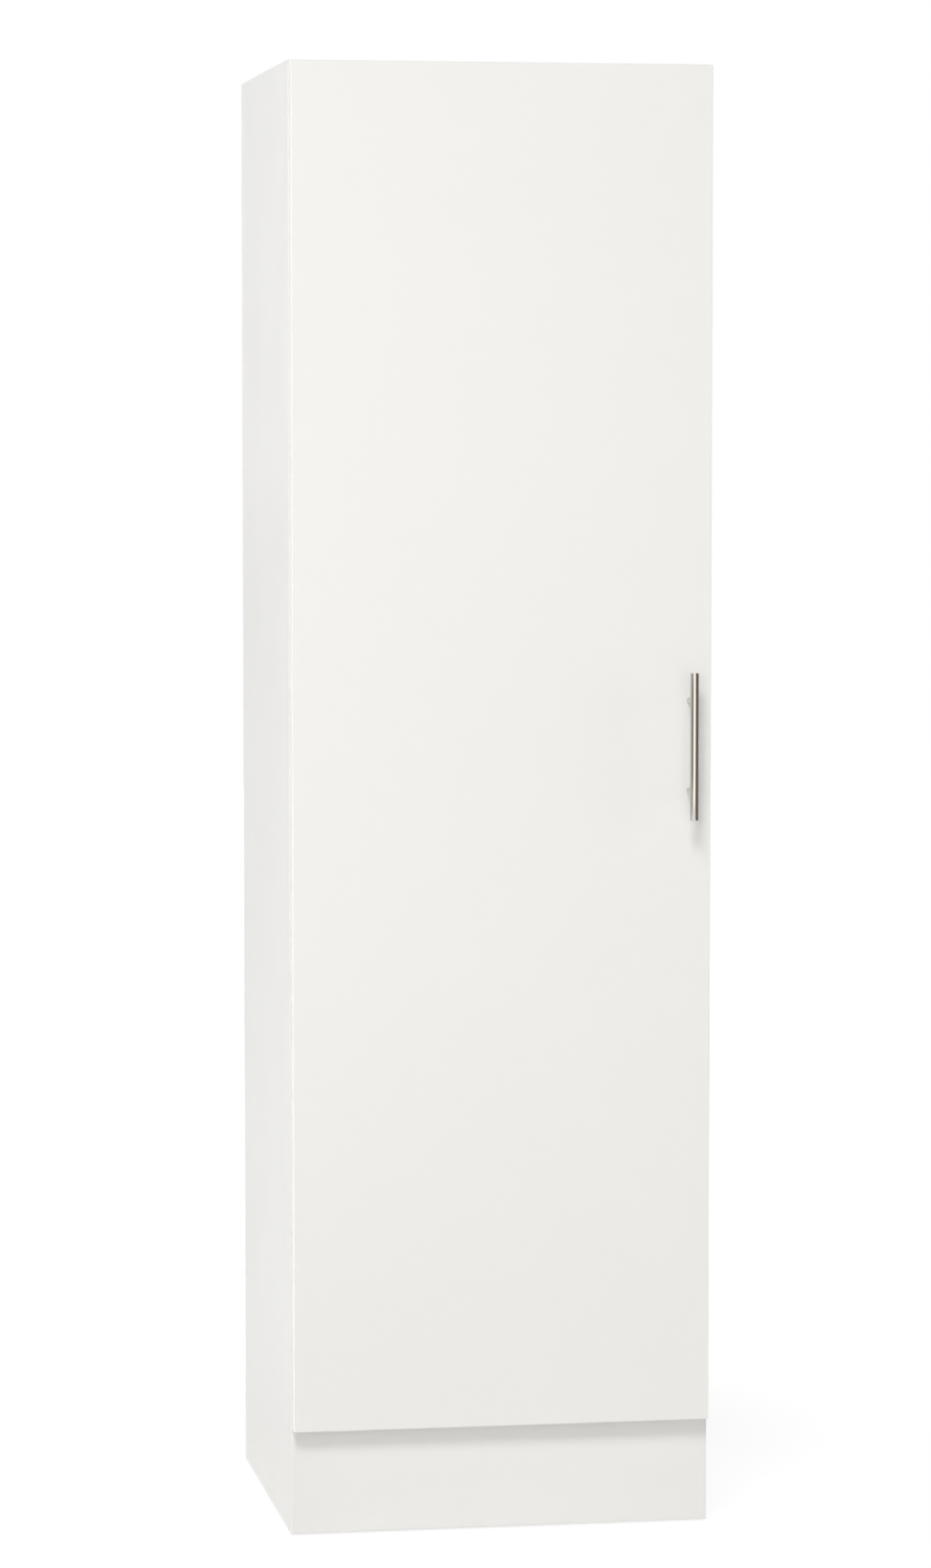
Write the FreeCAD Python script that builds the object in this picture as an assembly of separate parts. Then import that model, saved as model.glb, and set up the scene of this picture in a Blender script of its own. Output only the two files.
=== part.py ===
import FreeCAD, Part
import os

# Tall single-door broom cupboard, built from coated boards, with a slab door on
# four concealed four-bar hinges.
#
# Frame, in millimetres: the origin is on the floor under the middle of the closed
# cupboard, handle included. +X is to the right of someone facing the door, +Y is
# towards the wall and +Z is up.

Vector = FreeCAD.Vector
X_AXIS = Vector(1, 0, 0)
Y_AXIS = Vector(0, 1, 0)
Z_AXIS = Vector(0, 0, 1)
SAME_PLACE = 1e-6  # coordinates closer than this are equal
PARALLEL = 0.999  # least cosine between two directions that count as parallel

# ---------------------------------------------------------------- driving sizes
WIDTH = 600.0  # over both side panels
HEIGHT = 2075.0  # floor to the top of the side panels
DEPTH = 530.0  # side panels, without the door
BOARD = 16.0  # carcass boards
EDGE_RADIUS = 1.0  # rounding of the banded board edges

PLINTH_TOP = 150.0  # floor to the underside of the bottom panel
GLIDE_HEIGHT = 3.0  # floor to the underside of the side panels
UPPER_BAY = 483.0  # fixed shelf to the underside of the top panel
LOOSE_SHELF_SPACE = 231.0  # loose shelf to the underside of the top panel

DOOR_THICKNESS = 19.0
DOOR_GAP = 2.0  # carcass front to the back of the closed door
DOOR_REVEAL = 1.5  # door edge to the outer face of each side panel
DOOR_TOP_GAP = 2.0  # below the top of the side panels
DOOR_OVERHANG_GAP = 2.0  # door's lower edge above the plinth's top
DOOR_EDGE_RADIUS = 1.2

HANDLE_ABOVE_MIDDLE = 5.0  # middle of the bar above the middle of the door
HANDLE_PROJECTION = 35.0  # door face to the front of the bar

# ------------------------------------------------------------------ back panels
BACK_THICKNESS = 3.0
BACK_RECESS = 18.0  # rear edge of the side panels to the rear of the back panels
GROOVE_DEPTH = 8.0
GROOVE_PLAY = 0.1  # on each face of a back panel in its groove
BACK_END_PLAY = 0.5  # from a back panel's edge to the bottom of the groove
BACK_JOINT_HEIGHT = 1080.0
JOINT_WEB = 1.5
JOINT_FLANGE = 1.0
JOINT_HEIGHT = 21.0
RAIL_HEIGHT = 100.0
WALL_SCREW_SPACING = 400.0
WALL_SCREW_HOLE = 6.0

# ---------------------------------------------------- dowels, cams and shelf pins
SYSTEM_PITCH = 32.0
FITTING_INSET = 60.0  # first cam from a board's front or rear edge
FIT_PLAY = 0.05  # radial play of a pin or dowel in its hole
CAM_FROM_END = 34.0
CAM_DIAMETER = 15.0
CAM_DEPTH = 12.5
CAM_SLOT = 1.6
BOLT_THREAD = 5.0
BOLT_THREAD_LENGTH = 11.0
BOLT_SHANK = 6.0
BOLT_HEAD = 7.0
BOLT_HEAD_LENGTH = 4.0
BOLT_BORE = 8.0
DOWEL_DIAMETER = 8.0
DOWEL_LENGTH = 30.0
DOWEL_IN_SIDE = 10.0
HOLE_SPARE = 0.5  # free depth behind a pin, dowel or screw
RAIL_DOWEL_SPACING = 64.0

SHELF_PIN = 5.0
SHELF_PIN_LENGTH = 9.0
SHELF_PIN_PLATE = 2.0
SHELF_PIN_TONGUE = 10.0
SHELF_ROW_PITCH = 64.0
SHELF_COLUMN_INSET = 60.0  # shelf-pin column from the board's front or rear edge
SHELF_SIDE_PLAY = 1.0
SHELF_FRONT_PLAY = 12.0
SHELF_BACK_PLAY = 2.0

# ----------------------------------------------------------------------- plinth
GLIDE_DIAMETER = 15.0
GLIDE_INSET = 40.0
GLIDE_CHAMFER = 0.8
NAIL_DIAMETER = 2.0
NAIL_LENGTH = 14.0
BRACKET_LEG = 30.0
BRACKET_HEIGHT = 36.0
BRACKET_WALL = 3.0
BRACKET_SCREW = 3.5
BRACKET_SCREW_LENGTH = 14.0
BRACKET_SCREW_HEAD = 7.0
BRACKET_SCREW_HEAD_HEIGHT = 2.0

# ----------------------------------------------------------------------- handle
HANDLE_DIAMETER = 12.0
HANDLE_LENGTH = 208.0
HANDLE_CENTRES = 128.0
HANDLE_POST = 10.0
HANDLE_FROM_EDGE = 30.0
HANDLE_CHAMFER = 0.6
HANDLE_SCREW = 4.0
HANDLE_SCREW_HEAD = 8.0
HANDLE_SCREW_HEAD_HEIGHT = 2.2
HANDLE_SCREW_GRIP = 12.0  # thread length inside the post
HANDLE_SCREW_PLAY = 0.25
BUMPER_DIAMETER = 10.0
BUMPER_FREE_GAP = 0.3
BUMPER_INSET = 40.0

# ----------------------------------------------------------------------- hinges
HINGE_FROM_END = 100.0  # outer hinges from the ends of the door
HINGE_BELOW_SHELF = 160.0  # third hinge below the underside of the fixed shelf

# Pin axes in plan. The arm's pins are measured from the side panel's inner face
# and from its front edge, the cup's pins from the door's edge and its back face.
INNER_ARM_PIN_OUT = 13.0
INNER_ARM_PIN_BACK = 0.5
OUTER_ARM_PIN_OUT = 22.0
OUTER_ARM_PIN_BACK = 14.0
CUP_PINS_FROM_EDGE = 8.5
INNER_CUP_PIN_DEEP = 9.0
OUTER_CUP_PIN_DEEP = 3.0

PIN_RADIUS = 1.2
PIN_RIVET = 0.3  # how far an arm pin stands out of the arm

CUP_DIAMETER = 35.0
CUP_EDGE_DISTANCE = 3.0
CUP_DEPTH = 12.8
CUP_WALL = 0.9
CUP_PLAY = 0.1
CUP_RIM = 0.4  # how far the round rim covers the edge of the bore
CUP_FLANGE = 1.2
CUP_EAR_LENGTH = 62.0
CUP_EAR_WIDTH = 16.0
CUP_EAR_OFFSET = 6.0  # screw line from the cup's centre, away from the door's edge
CUP_EAR_RADIUS = 6.0
CUP_SCREW_SPACING = 48.0
CUP_SCREW = 3.5
CUP_SCREW_LENGTH = 13.0
CUP_SCREW_HEAD = 7.0
CUP_SCREW_HEAD_HEIGHT = 1.6
CHEEK_THICKNESS = 1.5
CHEEK_WIDTH = 6.0
CHEEK_TOP_DEEP = 1.4  # top of a pin cheek below the door's back face

INNER_LINK_HALF = 4.5  # half its width, along the pins
FORK_INNER = 4.9
FORK_PLATE = 1.7
CHEEK_INNER = 6.9
ARM_HALF = 8.7
ARM_WALL = 1.5

INNER_EYE = 2.4
INNER_STRIP_TOP = -0.4  # upper edge of the low strip, from its cup pin
INNER_KNEE = 12.3
INNER_ELBOW = 15.2
FORK_EYE = 2.3
FORK_STRIP_TOP = 0.0
FORK_LEG_LEFT = 7.7
FORK_LEG_RIGHT = 11.6
FORK_SHOULDER = 11.0
FORK_TURN = 13.2
FORK_SLOT_HALF_WIDTH = 1.8
FORK_SLOT_HALF_TRAVEL = 1.75
FORK_SLOT_WALL = 1.3
FORK_WEB = 1.5
FORK_WEB_START = 5.0  # from the slotted end, along the link
FORK_WEB_END = 10.5

ARM_LOBE_INNER = 3.0
ARM_LOBE_OUTER = 3.4
ARM_FOOT = 4.0  # arm's edge above the side panel
ARM_BACK_HEIGHT = 16.0
ARM_TOP = 25.5
ARM_WEB_START = 20.5  # from the front edge of the side panel
ARM_SLOPE_END = 31.0
ARM_END = 66.0

PLATE_BASE = 3.0
PLATE_BASE_HALF = 9.0
PLATE_WING_HALF = 24.0
PLATE_WING_WIDTH = 13.0
PLATE_WING_RADIUS = 5.5
PLATE_SCREW_BACK = 37.0
PLATE_SCREW_SPACING = 32.0
PLATE_SCREW = 5.0
PLATE_SCREW_LENGTH = 11.0
PLATE_SCREW_HEAD = 7.5
PLATE_SCREW_HEAD_HEIGHT = 2.0
RIDGE_HALF = 5.5
RIDGE_START = 32.0
RIDGE_END = 64.0
ARM_SCREW = 4.0
ARM_SCREW_LENGTH = 7.0
ARM_SCREW_HEAD = 6.5
ARM_SCREW_HEAD_HEIGHT = 1.8
ARM_SCREWS_BACK = (46.0, 57.0)

# --------------------------------------------------------------- derived planes
CARCASS_FRONT = (DOOR_GAP + DOOR_THICKNESS + HANDLE_PROJECTION - DEPTH) / 2
CARCASS_BACK = CARCASS_FRONT + DEPTH
SIDE_OUTER = WIDTH / 2
SIDE_INNER = SIDE_OUTER - BOARD
DOOR_BACK = CARCASS_FRONT - DOOR_GAP
DOOR_FRONT = DOOR_BACK - DOOR_THICKNESS
DOOR_EDGE = SIDE_OUTER - DOOR_REVEAL
DOOR_BOTTOM = PLINTH_TOP + DOOR_OVERHANG_GAP
DOOR_TOP = HEIGHT - DOOR_TOP_GAP
HANDLE_LEVEL = (DOOR_BOTTOM + DOOR_TOP) / 2 + HANDLE_ABOVE_MIDDLE
FIXED_SHELF_TOP = HEIGHT - BOARD - UPPER_BAY
LOOSE_SHELF_TOP = HEIGHT - BOARD - LOOSE_SHELF_SPACE
BACK_REAR = CARCASS_BACK - BACK_RECESS
BACK_FRONT = BACK_REAR - BACK_THICKNESS

HANDLE_X = DOOR_EDGE - HANDLE_FROM_EDGE
HANDLE_Y = DOOR_FRONT - HANDLE_PROJECTION + HANDLE_DIAMETER / 2
FIRST_HINGE = DOOR_BOTTOM + HINGE_FROM_END
THIRD_HINGE = FIXED_SHELF_TOP - BOARD - HINGE_BELOW_SHELF
HINGE_LEVELS = [
    FIRST_HINGE,
    (FIRST_HINGE + THIRD_HINGE) / 2,
    THIRD_HINGE,
    DOOR_TOP - HINGE_FROM_END,
]

# Undersides of the boards that run between the side panels on cams and dowels.
FIXED_BOARDS = {
    "top_panel": HEIGHT - BOARD,
    "bottom_panel": PLINTH_TOP,
    "fixed_shelf": FIXED_SHELF_TOP - BOARD,
}
CAM_ROWS = (CARCASS_FRONT + FITTING_INSET, BACK_FRONT - FITTING_INSET)
DOWEL_ROWS = (CAM_ROWS[0] + SYSTEM_PITCH, CAM_ROWS[1] - SYSTEM_PITCH)
RAIL_MIDDLE = HEIGHT - RAIL_HEIGHT / 2
RAIL_DOWELS = [RAIL_MIDDLE + i * RAIL_DOWEL_SPACING / 2 for i in (-1, 1)]
SHELF_COLUMNS = (CARCASS_FRONT + SHELF_COLUMN_INSET, BACK_FRONT - SHELF_COLUMN_INSET)
SHELF_PIN_LEVEL = LOOSE_SHELF_TOP - BOARD - SHELF_PIN_PLATE - SHELF_PIN / 2
SHELF_ROWS = [SHELF_PIN_LEVEL + i * SHELF_ROW_PITCH for i in (-1, 0, 1)]

# Hinge pins in plan, on the left side panel and the left edge of the door.
HINGE_SIDE = -SIDE_INNER
INNER_ARM_PIN = Vector(HINGE_SIDE + INNER_ARM_PIN_OUT, CARCASS_FRONT + INNER_ARM_PIN_BACK, 0)
OUTER_ARM_PIN = Vector(HINGE_SIDE + OUTER_ARM_PIN_OUT, CARCASS_FRONT + OUTER_ARM_PIN_BACK, 0)
INNER_CUP_PIN = Vector(-DOOR_EDGE + CUP_PINS_FROM_EDGE, DOOR_BACK - INNER_CUP_PIN_DEEP, 0)
OUTER_CUP_PIN = Vector(-DOOR_EDGE + CUP_PINS_FROM_EDGE, DOOR_BACK - OUTER_CUP_PIN_DEEP, 0)
CUP_CENTRE = Vector(-DOOR_EDGE + CUP_EDGE_DISTANCE + CUP_DIAMETER / 2, DOOR_BACK, 0)
CUP_SCREW_LINE = CUP_CENTRE.x + CUP_EAR_OFFSET


# ------------------------------------------------------------------ small tools
def box(x0, x1, y0, y1, z0, z1):
    """A block between two corners."""
    return Part.makeBox(x1 - x0, y1 - y0, z1 - z0, Vector(x0, y0, z0))


def rod(start, direction, length, diameter):
    """A round bar, or the tool for a round hole."""
    return Part.makeCylinder(diameter / 2, length, start, direction)


def group(solids):
    """Separate solids that share one node."""
    return Part.makeCompound(list(solids))


def drilled(solid, tools):
    """The solid with every tool cut out of it."""
    tools = list(tools)
    return solid.cut(tools) if tools else solid


def softened(solid, radius, chosen):
    """The solid with the chosen edges rounded."""
    return solid.makeFillet(radius, [e for e in solid.Edges if chosen(e)])


def along(edge, axis):
    """Whether a straight edge runs along an axis."""
    ends = [v.Point for v in edge.Vertexes]
    return len(ends) == 2 and abs((ends[1] - ends[0]).normalize().dot(axis)) > PARALLEL


def at_front(edge, plane=CARCASS_FRONT):
    """Whether an edge lies in a plane of constant Y."""
    return all(abs(v.Point.y - plane) < SAME_PLACE for v in edge.Vertexes)


def slab(points, z0, z1):
    """A straight-sided outline in plan, raised from z0 to z1."""
    wire = Part.makePolygon([Vector(x, y, z0) for x, y in points + points[:1]])
    return Part.Face(wire).extrude(Vector(0, 0, z1 - z0))


def disc(centre, radius, z0, z1):
    """A round plate about an upright axis."""
    return Part.makeCylinder(radius, z1 - z0, Vector(centre.x, centre.y, z0), Z_AXIS)


def fused(solids):
    """One solid from overlapping solids, with the seams between them removed."""
    solids = list(solids)
    return solids[0].multiFuse(solids[1:]).removeSplitter()


def mirrored(solid):
    """The solid with its copy on the other side of the hinge's middle plane."""
    return [solid, solid.mirror(Vector(0, 0, 0), Z_AXIS)]


def at_hinges(solids):
    """Every solid repeated at each hinge."""
    return [s.translated(Vector(0, 0, level)) for level in HINGE_LEVELS for s in solids]


# ----------------------------------------------------------------- carcass holes
def side_holes(side):
    """Everything drilled into the inner face of a side panel: side is -1 or 1."""
    face, into = side * SIDE_INNER, Vector(side, 0, 0)
    tools = []
    for underside in FIXED_BOARDS.values():
        middle = underside + BOARD / 2
        tools += [
            rod(Vector(face, y, middle), into, BOLT_THREAD_LENGTH + HOLE_SPARE,
                BOLT_THREAD + 2 * FIT_PLAY)
            for y in CAM_ROWS
        ]
        tools += [dowel_hole(Vector(face, y, middle), into, DOWEL_IN_SIDE) for y in DOWEL_ROWS]
    rail_y = BACK_REAR + BOARD / 2
    tools += [dowel_hole(Vector(face, rail_y, z), into, DOWEL_IN_SIDE) for z in RAIL_DOWELS]
    tools += [
        rod(Vector(face, y, z), into, SHELF_PIN_LENGTH + HOLE_SPARE, SHELF_PIN + 2 * FIT_PLAY)
        for y in SHELF_COLUMNS
        for z in SHELF_ROWS
    ]
    tools.append(bracket_screw_hole(side_screw_start(side), into))
    return tools


def dowel_hole(start, into, depth):
    """The hole for one end of a dowel."""
    return rod(start, into, depth + HOLE_SPARE, DOWEL_DIAMETER + 2 * FIT_PLAY)


def board_end_holes(underside, side):
    """Dowel holes, bolt bores and cam pockets in one end of a fixed board."""
    face, into = side * SIDE_INNER, Vector(-side, 0, 0)
    middle = underside + BOARD / 2
    tools = [
        dowel_hole(Vector(face, y, middle), into, DOWEL_LENGTH - DOWEL_IN_SIDE)
        for y in DOWEL_ROWS
    ]
    for y in CAM_ROWS:
        tools.append(rod(Vector(face, y, middle), into, CAM_FROM_END, BOLT_BORE))
        pocket = Vector(face - side * CAM_FROM_END, y, underside)
        tools.append(rod(pocket, Z_AXIS, CAM_DEPTH + HOLE_SPARE, CAM_DIAMETER + 2 * FIT_PLAY))
    return tools


# ---------------------------------------------------------------- carcass boards
def side_panel(side):
    """A side panel down to the floor glides, notched for the plinth and grooved at the back."""
    inner, outer = side * SIDE_INNER, side * SIDE_OUTER
    board = box(*sorted((inner, outer)), CARCASS_FRONT, CARCASS_BACK, GLIDE_HEIGHT, HEIGHT)
    board = softened(board, EDGE_RADIUS, at_front)
    notch = box(*sorted((inner, outer)), CARCASS_FRONT, CARCASS_FRONT + BOARD,
                GLIDE_HEIGHT, PLINTH_TOP)
    groove = box(*sorted((inner, inner + side * GROOVE_DEPTH)), BACK_FRONT - GROOVE_PLAY,
                 BACK_REAR + GROOVE_PLAY, GLIDE_HEIGHT, HEIGHT)
    nails = [
        rod(Vector(side * (SIDE_OUTER - BOARD / 2), y, GLIDE_HEIGHT), Z_AXIS,
            NAIL_LENGTH + HOLE_SPARE, NAIL_DIAMETER + 2 * FIT_PLAY)
        for y in glide_rows()
    ]
    tools = [notch, groove] + nails + side_holes(side)
    if side < 0:
        tools += at_hinges(mirrored(plate_screw_hole()))
    return drilled(board, tools)


def fixed_board(underside):
    """A board held between the side panels by cams and dowels."""
    board = box(-SIDE_INNER, SIDE_INNER, CARCASS_FRONT, BACK_FRONT, underside, underside + BOARD)
    board = softened(board, EDGE_RADIUS, lambda e: at_front(e) and along(e, X_AXIS))
    return drilled(board, board_end_holes(underside, -1) + board_end_holes(underside, 1))


def adjustable_shelf():
    """The loose shelf on its four pins."""
    reach = SIDE_INNER - SHELF_SIDE_PLAY
    front = CARCASS_FRONT + SHELF_FRONT_PLAY
    board = box(-reach, reach, front, BACK_FRONT - SHELF_BACK_PLAY,
                LOOSE_SHELF_TOP - BOARD, LOOSE_SHELF_TOP)
    return softened(board, EDGE_RADIUS, lambda e: at_front(e, front) and along(e, X_AXIS))


def back_panel(z0, z1):
    """A thin back panel, slid into the grooves of both side panels."""
    reach = SIDE_INNER + GROOVE_DEPTH - BACK_END_PLAY
    return box(-reach, reach, BACK_FRONT, BACK_REAR, z0, z1)


def back_joint_strip():
    """The H-section strip that joins the two back panels."""
    front = BACK_FRONT - GROOVE_PLAY - JOINT_FLANGE
    rear = BACK_REAR + GROOVE_PLAY + JOINT_FLANGE
    low, high = BACK_JOINT_HEIGHT - JOINT_HEIGHT / 2, BACK_JOINT_HEIGHT + JOINT_HEIGHT / 2
    strip = box(-SIDE_INNER, SIDE_INNER, front, rear, low, high)
    slots = [
        box(-SIDE_INNER, SIDE_INNER, front + JOINT_FLANGE, rear - JOINT_FLANGE, z0, z1)
        for z0, z1 in (
            (low, BACK_JOINT_HEIGHT - JOINT_WEB / 2),
            (BACK_JOINT_HEIGHT + JOINT_WEB / 2, high),
        )
    ]
    return drilled(strip, slots)


def wall_screw_holes():
    """Through holes for the two screws that hold the cupboard to the wall."""
    return [
        rod(Vector(i * WALL_SCREW_SPACING / 2, BACK_FRONT, RAIL_MIDDLE), Y_AXIS,
            BACK_THICKNESS + BOARD, WALL_SCREW_HOLE)
        for i in (-1, 1)
    ]


def wall_rail():
    """The fixing rail behind the back panel, under the top edge."""
    rail = box(-SIDE_INNER, SIDE_INNER, BACK_REAR, BACK_REAR + BOARD, HEIGHT - RAIL_HEIGHT, HEIGHT)
    tools = wall_screw_holes()
    for side in (-1, 1):
        tools += [
            dowel_hole(Vector(side * SIDE_INNER, BACK_REAR + BOARD / 2, z), Vector(-side, 0, 0),
                       DOWEL_LENGTH - DOWEL_IN_SIDE)
            for z in RAIL_DOWELS
        ]
    return drilled(rail, tools)


# --------------------------------------------------------------- carcass fittings
def cam_bolt(start, into):
    """The bolt screwed into a side panel, whose head the cam pulls on."""
    neck = CAM_FROM_END - BOLT_HEAD_LENGTH / 2
    return fused([
        rod(start, -into, BOLT_THREAD_LENGTH, BOLT_THREAD),
        rod(start, into, neck, BOLT_SHANK),
        rod(start + into * neck, into, BOLT_HEAD_LENGTH, BOLT_HEAD),
    ])


def cam_lock(centre, to_bolt):
    """The round cam in the underside of a board, open towards its bolt."""
    housing = rod(centre, Z_AXIS, CAM_DEPTH, CAM_DIAMETER)
    middle = centre + Z_AXIS * (BOARD / 2)
    throat = rod(middle - to_bolt * (BOLT_HEAD_LENGTH / 2 + HOLE_SPARE), to_bolt, CAM_DIAMETER,
                 BOLT_BORE)
    half = CAM_DIAMETER / 2
    slot = box(centre.x - half, centre.x + half, centre.y - CAM_SLOT / 2,
               centre.y + CAM_SLOT / 2, centre.z, centre.z + CAM_SLOT)
    return housing.cut([throat, slot])


def cam_fittings():
    """Every cam bolt and every cam lock."""
    bolts, locks = [], []
    for underside in FIXED_BOARDS.values():
        for side in (-1, 1):
            for y in CAM_ROWS:
                into = Vector(-side, 0, 0)
                bolts.append(cam_bolt(Vector(side * SIDE_INNER, y, underside + BOARD / 2), into))
                pocket = Vector(side * (SIDE_INNER - CAM_FROM_END), y, underside)
                locks.append(cam_lock(pocket, -into))
    return group(bolts), group(locks)


def wooden_dowels():
    """The dowels of the fixed boards and of the wall rail."""
    places = [
        (y, underside + BOARD / 2) for underside in FIXED_BOARDS.values() for y in DOWEL_ROWS
    ]
    places += [(BACK_REAR + BOARD / 2, z) for z in RAIL_DOWELS]
    return group(
        rod(Vector(side * (SIDE_INNER + DOWEL_IN_SIDE), y, z), Vector(-side, 0, 0),
            DOWEL_LENGTH, DOWEL_DIAMETER)
        for side in (-1, 1)
        for y, z in places
    )


def shelf_pin(side, y):
    """A peg with a flat tongue under the loose shelf."""
    face = side * SIDE_INNER
    peg = rod(Vector(face, y, SHELF_PIN_LEVEL), Vector(side, 0, 0), SHELF_PIN_LENGTH, SHELF_PIN)
    collar = rod(Vector(face, y, SHELF_PIN_LEVEL), Vector(-side, 0, 0), SHELF_PIN_PLATE,
                 SHELF_PIN)
    tip = face - side * SHELF_PIN_TONGUE
    low = SHELF_PIN_LEVEL + SHELF_PIN / 2
    tongue = box(*sorted((face, tip)), y - SHELF_PIN_TONGUE / 2, y + SHELF_PIN_TONGUE / 2,
                 low, low + SHELF_PIN_PLATE)
    stem_end = face - side * SHELF_PIN_PLATE
    stem = box(*sorted((face, stem_end)), y - SHELF_PIN / 2, y + SHELF_PIN / 2,
               SHELF_PIN_LEVEL, low)
    return fused([peg, collar, stem, tongue])


def glide_rows():
    """Where the glides stand along a side panel."""
    return (CARCASS_FRONT + GLIDE_INSET, CARCASS_BACK - GLIDE_INSET)


def floor_glide(side, y):
    """A nail-on glide under a side panel, with its nail."""
    centre = Vector(side * (SIDE_OUTER - BOARD / 2), y, 0)
    pad = rod(centre, Z_AXIS, GLIDE_HEIGHT, GLIDE_DIAMETER)
    low_rim = [e for e in pad.Edges if len(e.Vertexes) == 1
               and abs(e.Vertexes[0].Point.z) < SAME_PLACE]
    pad = pad.makeChamfer(GLIDE_CHAMFER, low_rim)
    nail = rod(centre + Z_AXIS * GLIDE_HEIGHT, Z_AXIS, NAIL_LENGTH, NAIL_DIAMETER)
    return fused([pad, nail])


# ----------------------------------------------------------------------- plinth
def plinth_board():
    """The plinth across the notches of both side panels, flush with their front edges."""
    board = box(-SIDE_OUTER, SIDE_OUTER, CARCASS_FRONT, CARCASS_FRONT + BOARD,
                GLIDE_HEIGHT, PLINTH_TOP)
    board = softened(board, EDGE_RADIUS, at_front)
    holes = [
        bracket_screw_hole(plinth_screw_start(side), -Y_AXIS)
        for side in (-1, 1)
    ]
    return drilled(board, holes)


def bracket_level():
    """Mid-height of the plinth brackets."""
    return (GLIDE_HEIGHT + PLINTH_TOP) / 2


def side_screw_start(side):
    """Where a bracket's screw enters the side panel."""
    y = CARCASS_FRONT + BOARD + (BRACKET_LEG + BRACKET_WALL) / 2
    return Vector(side * SIDE_INNER, y, bracket_level())


def plinth_screw_start(side):
    """Where a bracket's screw enters the plinth."""
    x = side * (SIDE_INNER - (BRACKET_LEG + BRACKET_WALL) / 2)
    return Vector(x, CARCASS_FRONT + BOARD, bracket_level())


def bracket_screw_hole(start, into):
    """The pilot hole of a bracket screw."""
    depth = BRACKET_SCREW_LENGTH - BRACKET_WALL + HOLE_SPARE
    return rod(start, into, depth, BRACKET_SCREW + 2 * FIT_PLAY)


def bracket_screw(start, into):
    """A pan-head screw through a bracket's wall."""
    head_face = start - into * BRACKET_WALL
    return fused([
        rod(head_face, into, BRACKET_SCREW_LENGTH, BRACKET_SCREW),
        rod(head_face, -into, BRACKET_SCREW_HEAD_HEIGHT, BRACKET_SCREW_HEAD),
    ])


def plinth_bracket(side):
    """An angle block that joins the plinth to a side panel."""
    face, back = side * SIDE_INNER, CARCASS_FRONT + BOARD
    low = bracket_level() - BRACKET_HEIGHT / 2
    high = low + BRACKET_HEIGHT
    legs = [
        box(*sorted((face, face - side * BRACKET_WALL)), back, back + BRACKET_LEG, low, high),
        box(*sorted((face, face - side * BRACKET_LEG)), back, back + BRACKET_WALL, low, high),
    ]
    inner = face - side * BRACKET_WALL
    tip = face - side * (BRACKET_LEG - BRACKET_WALL)
    corner = back + BRACKET_WALL
    legs += [
        slab([(inner, corner), (tip, corner), (inner, back + BRACKET_LEG - BRACKET_WALL)], z0, z1)
        for z0, z1 in ((low, low + BRACKET_WALL), (high - BRACKET_WALL, high))
    ]
    block = fused(legs)
    screws = [
        (side_screw_start(side), Vector(side, 0, 0)),
        (plinth_screw_start(side), -Y_AXIS),
    ]
    holes = [
        rod(start - into * BRACKET_WALL, into, BRACKET_WALL, BRACKET_SCREW + 2 * FIT_PLAY)
        for start, into in screws
    ]
    return drilled(block, holes), [bracket_screw(start, into) for start, into in screws]


# ------------------------------------------------------------------------- door
def door_panel():
    """The slab door, bored for its hinge cups and its handle."""
    board = box(-DOOR_EDGE, DOOR_EDGE, DOOR_FRONT, DOOR_BACK, DOOR_BOTTOM, DOOR_TOP)
    board = softened(board, DOOR_EDGE_RADIUS, lambda e: True)
    bore = rod(CUP_CENTRE, -Y_AXIS, CUP_DEPTH + HOLE_SPARE / 2, CUP_DIAMETER + 2 * CUP_PLAY)
    hinge_tools = [bore] + mirrored(cup_screw_hole())
    tools = at_hinges(hinge_tools)
    tools += [
        rod(Vector(HANDLE_X, DOOR_BACK, z), -Y_AXIS, DOOR_THICKNESS,
            HANDLE_SCREW + 2 * HANDLE_SCREW_PLAY)
        for z in handle_post_levels()
    ]
    return drilled(board, tools)


def handle_post_levels():
    """Heights of the lower and the upper handle post."""
    return [HANDLE_LEVEL + i * HANDLE_CENTRES / 2 for i in (-1, 1)]


def handle_bar():
    """The round grip, with a seat for each post."""
    bar = rod(Vector(HANDLE_X, HANDLE_Y, HANDLE_LEVEL - HANDLE_LENGTH / 2), Z_AXIS,
              HANDLE_LENGTH, HANDLE_DIAMETER)
    bar = bar.makeChamfer(HANDLE_CHAMFER, [e for e in bar.Edges if len(e.Vertexes) == 1])
    seats = [rod(Vector(HANDLE_X, HANDLE_Y, z), Y_AXIS, HANDLE_DIAMETER, HANDLE_POST)
             for z in handle_post_levels()]
    return drilled(bar, seats)


def handle_post(level):
    """A post from the door's face into the bar, tapped for its screw."""
    post = rod(Vector(HANDLE_X, HANDLE_Y, level), Y_AXIS, DOOR_FRONT - HANDLE_Y, HANDLE_POST)
    tapped = rod(Vector(HANDLE_X, DOOR_FRONT, level), -Y_AXIS, HANDLE_SCREW_GRIP + HOLE_SPARE,
                 HANDLE_SCREW + 2 * FIT_PLAY)
    return post.cut(tapped)


def handle_screws():
    """The machine screws from the back of the door into the posts."""
    return group(
        fused([
            rod(Vector(HANDLE_X, DOOR_BACK, z), -Y_AXIS, DOOR_THICKNESS + HANDLE_SCREW_GRIP,
                HANDLE_SCREW),
            rod(Vector(HANDLE_X, DOOR_BACK, z), Y_AXIS, HANDLE_SCREW_HEAD_HEIGHT,
                HANDLE_SCREW_HEAD),
        ])
        for z in handle_post_levels()
    )


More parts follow.
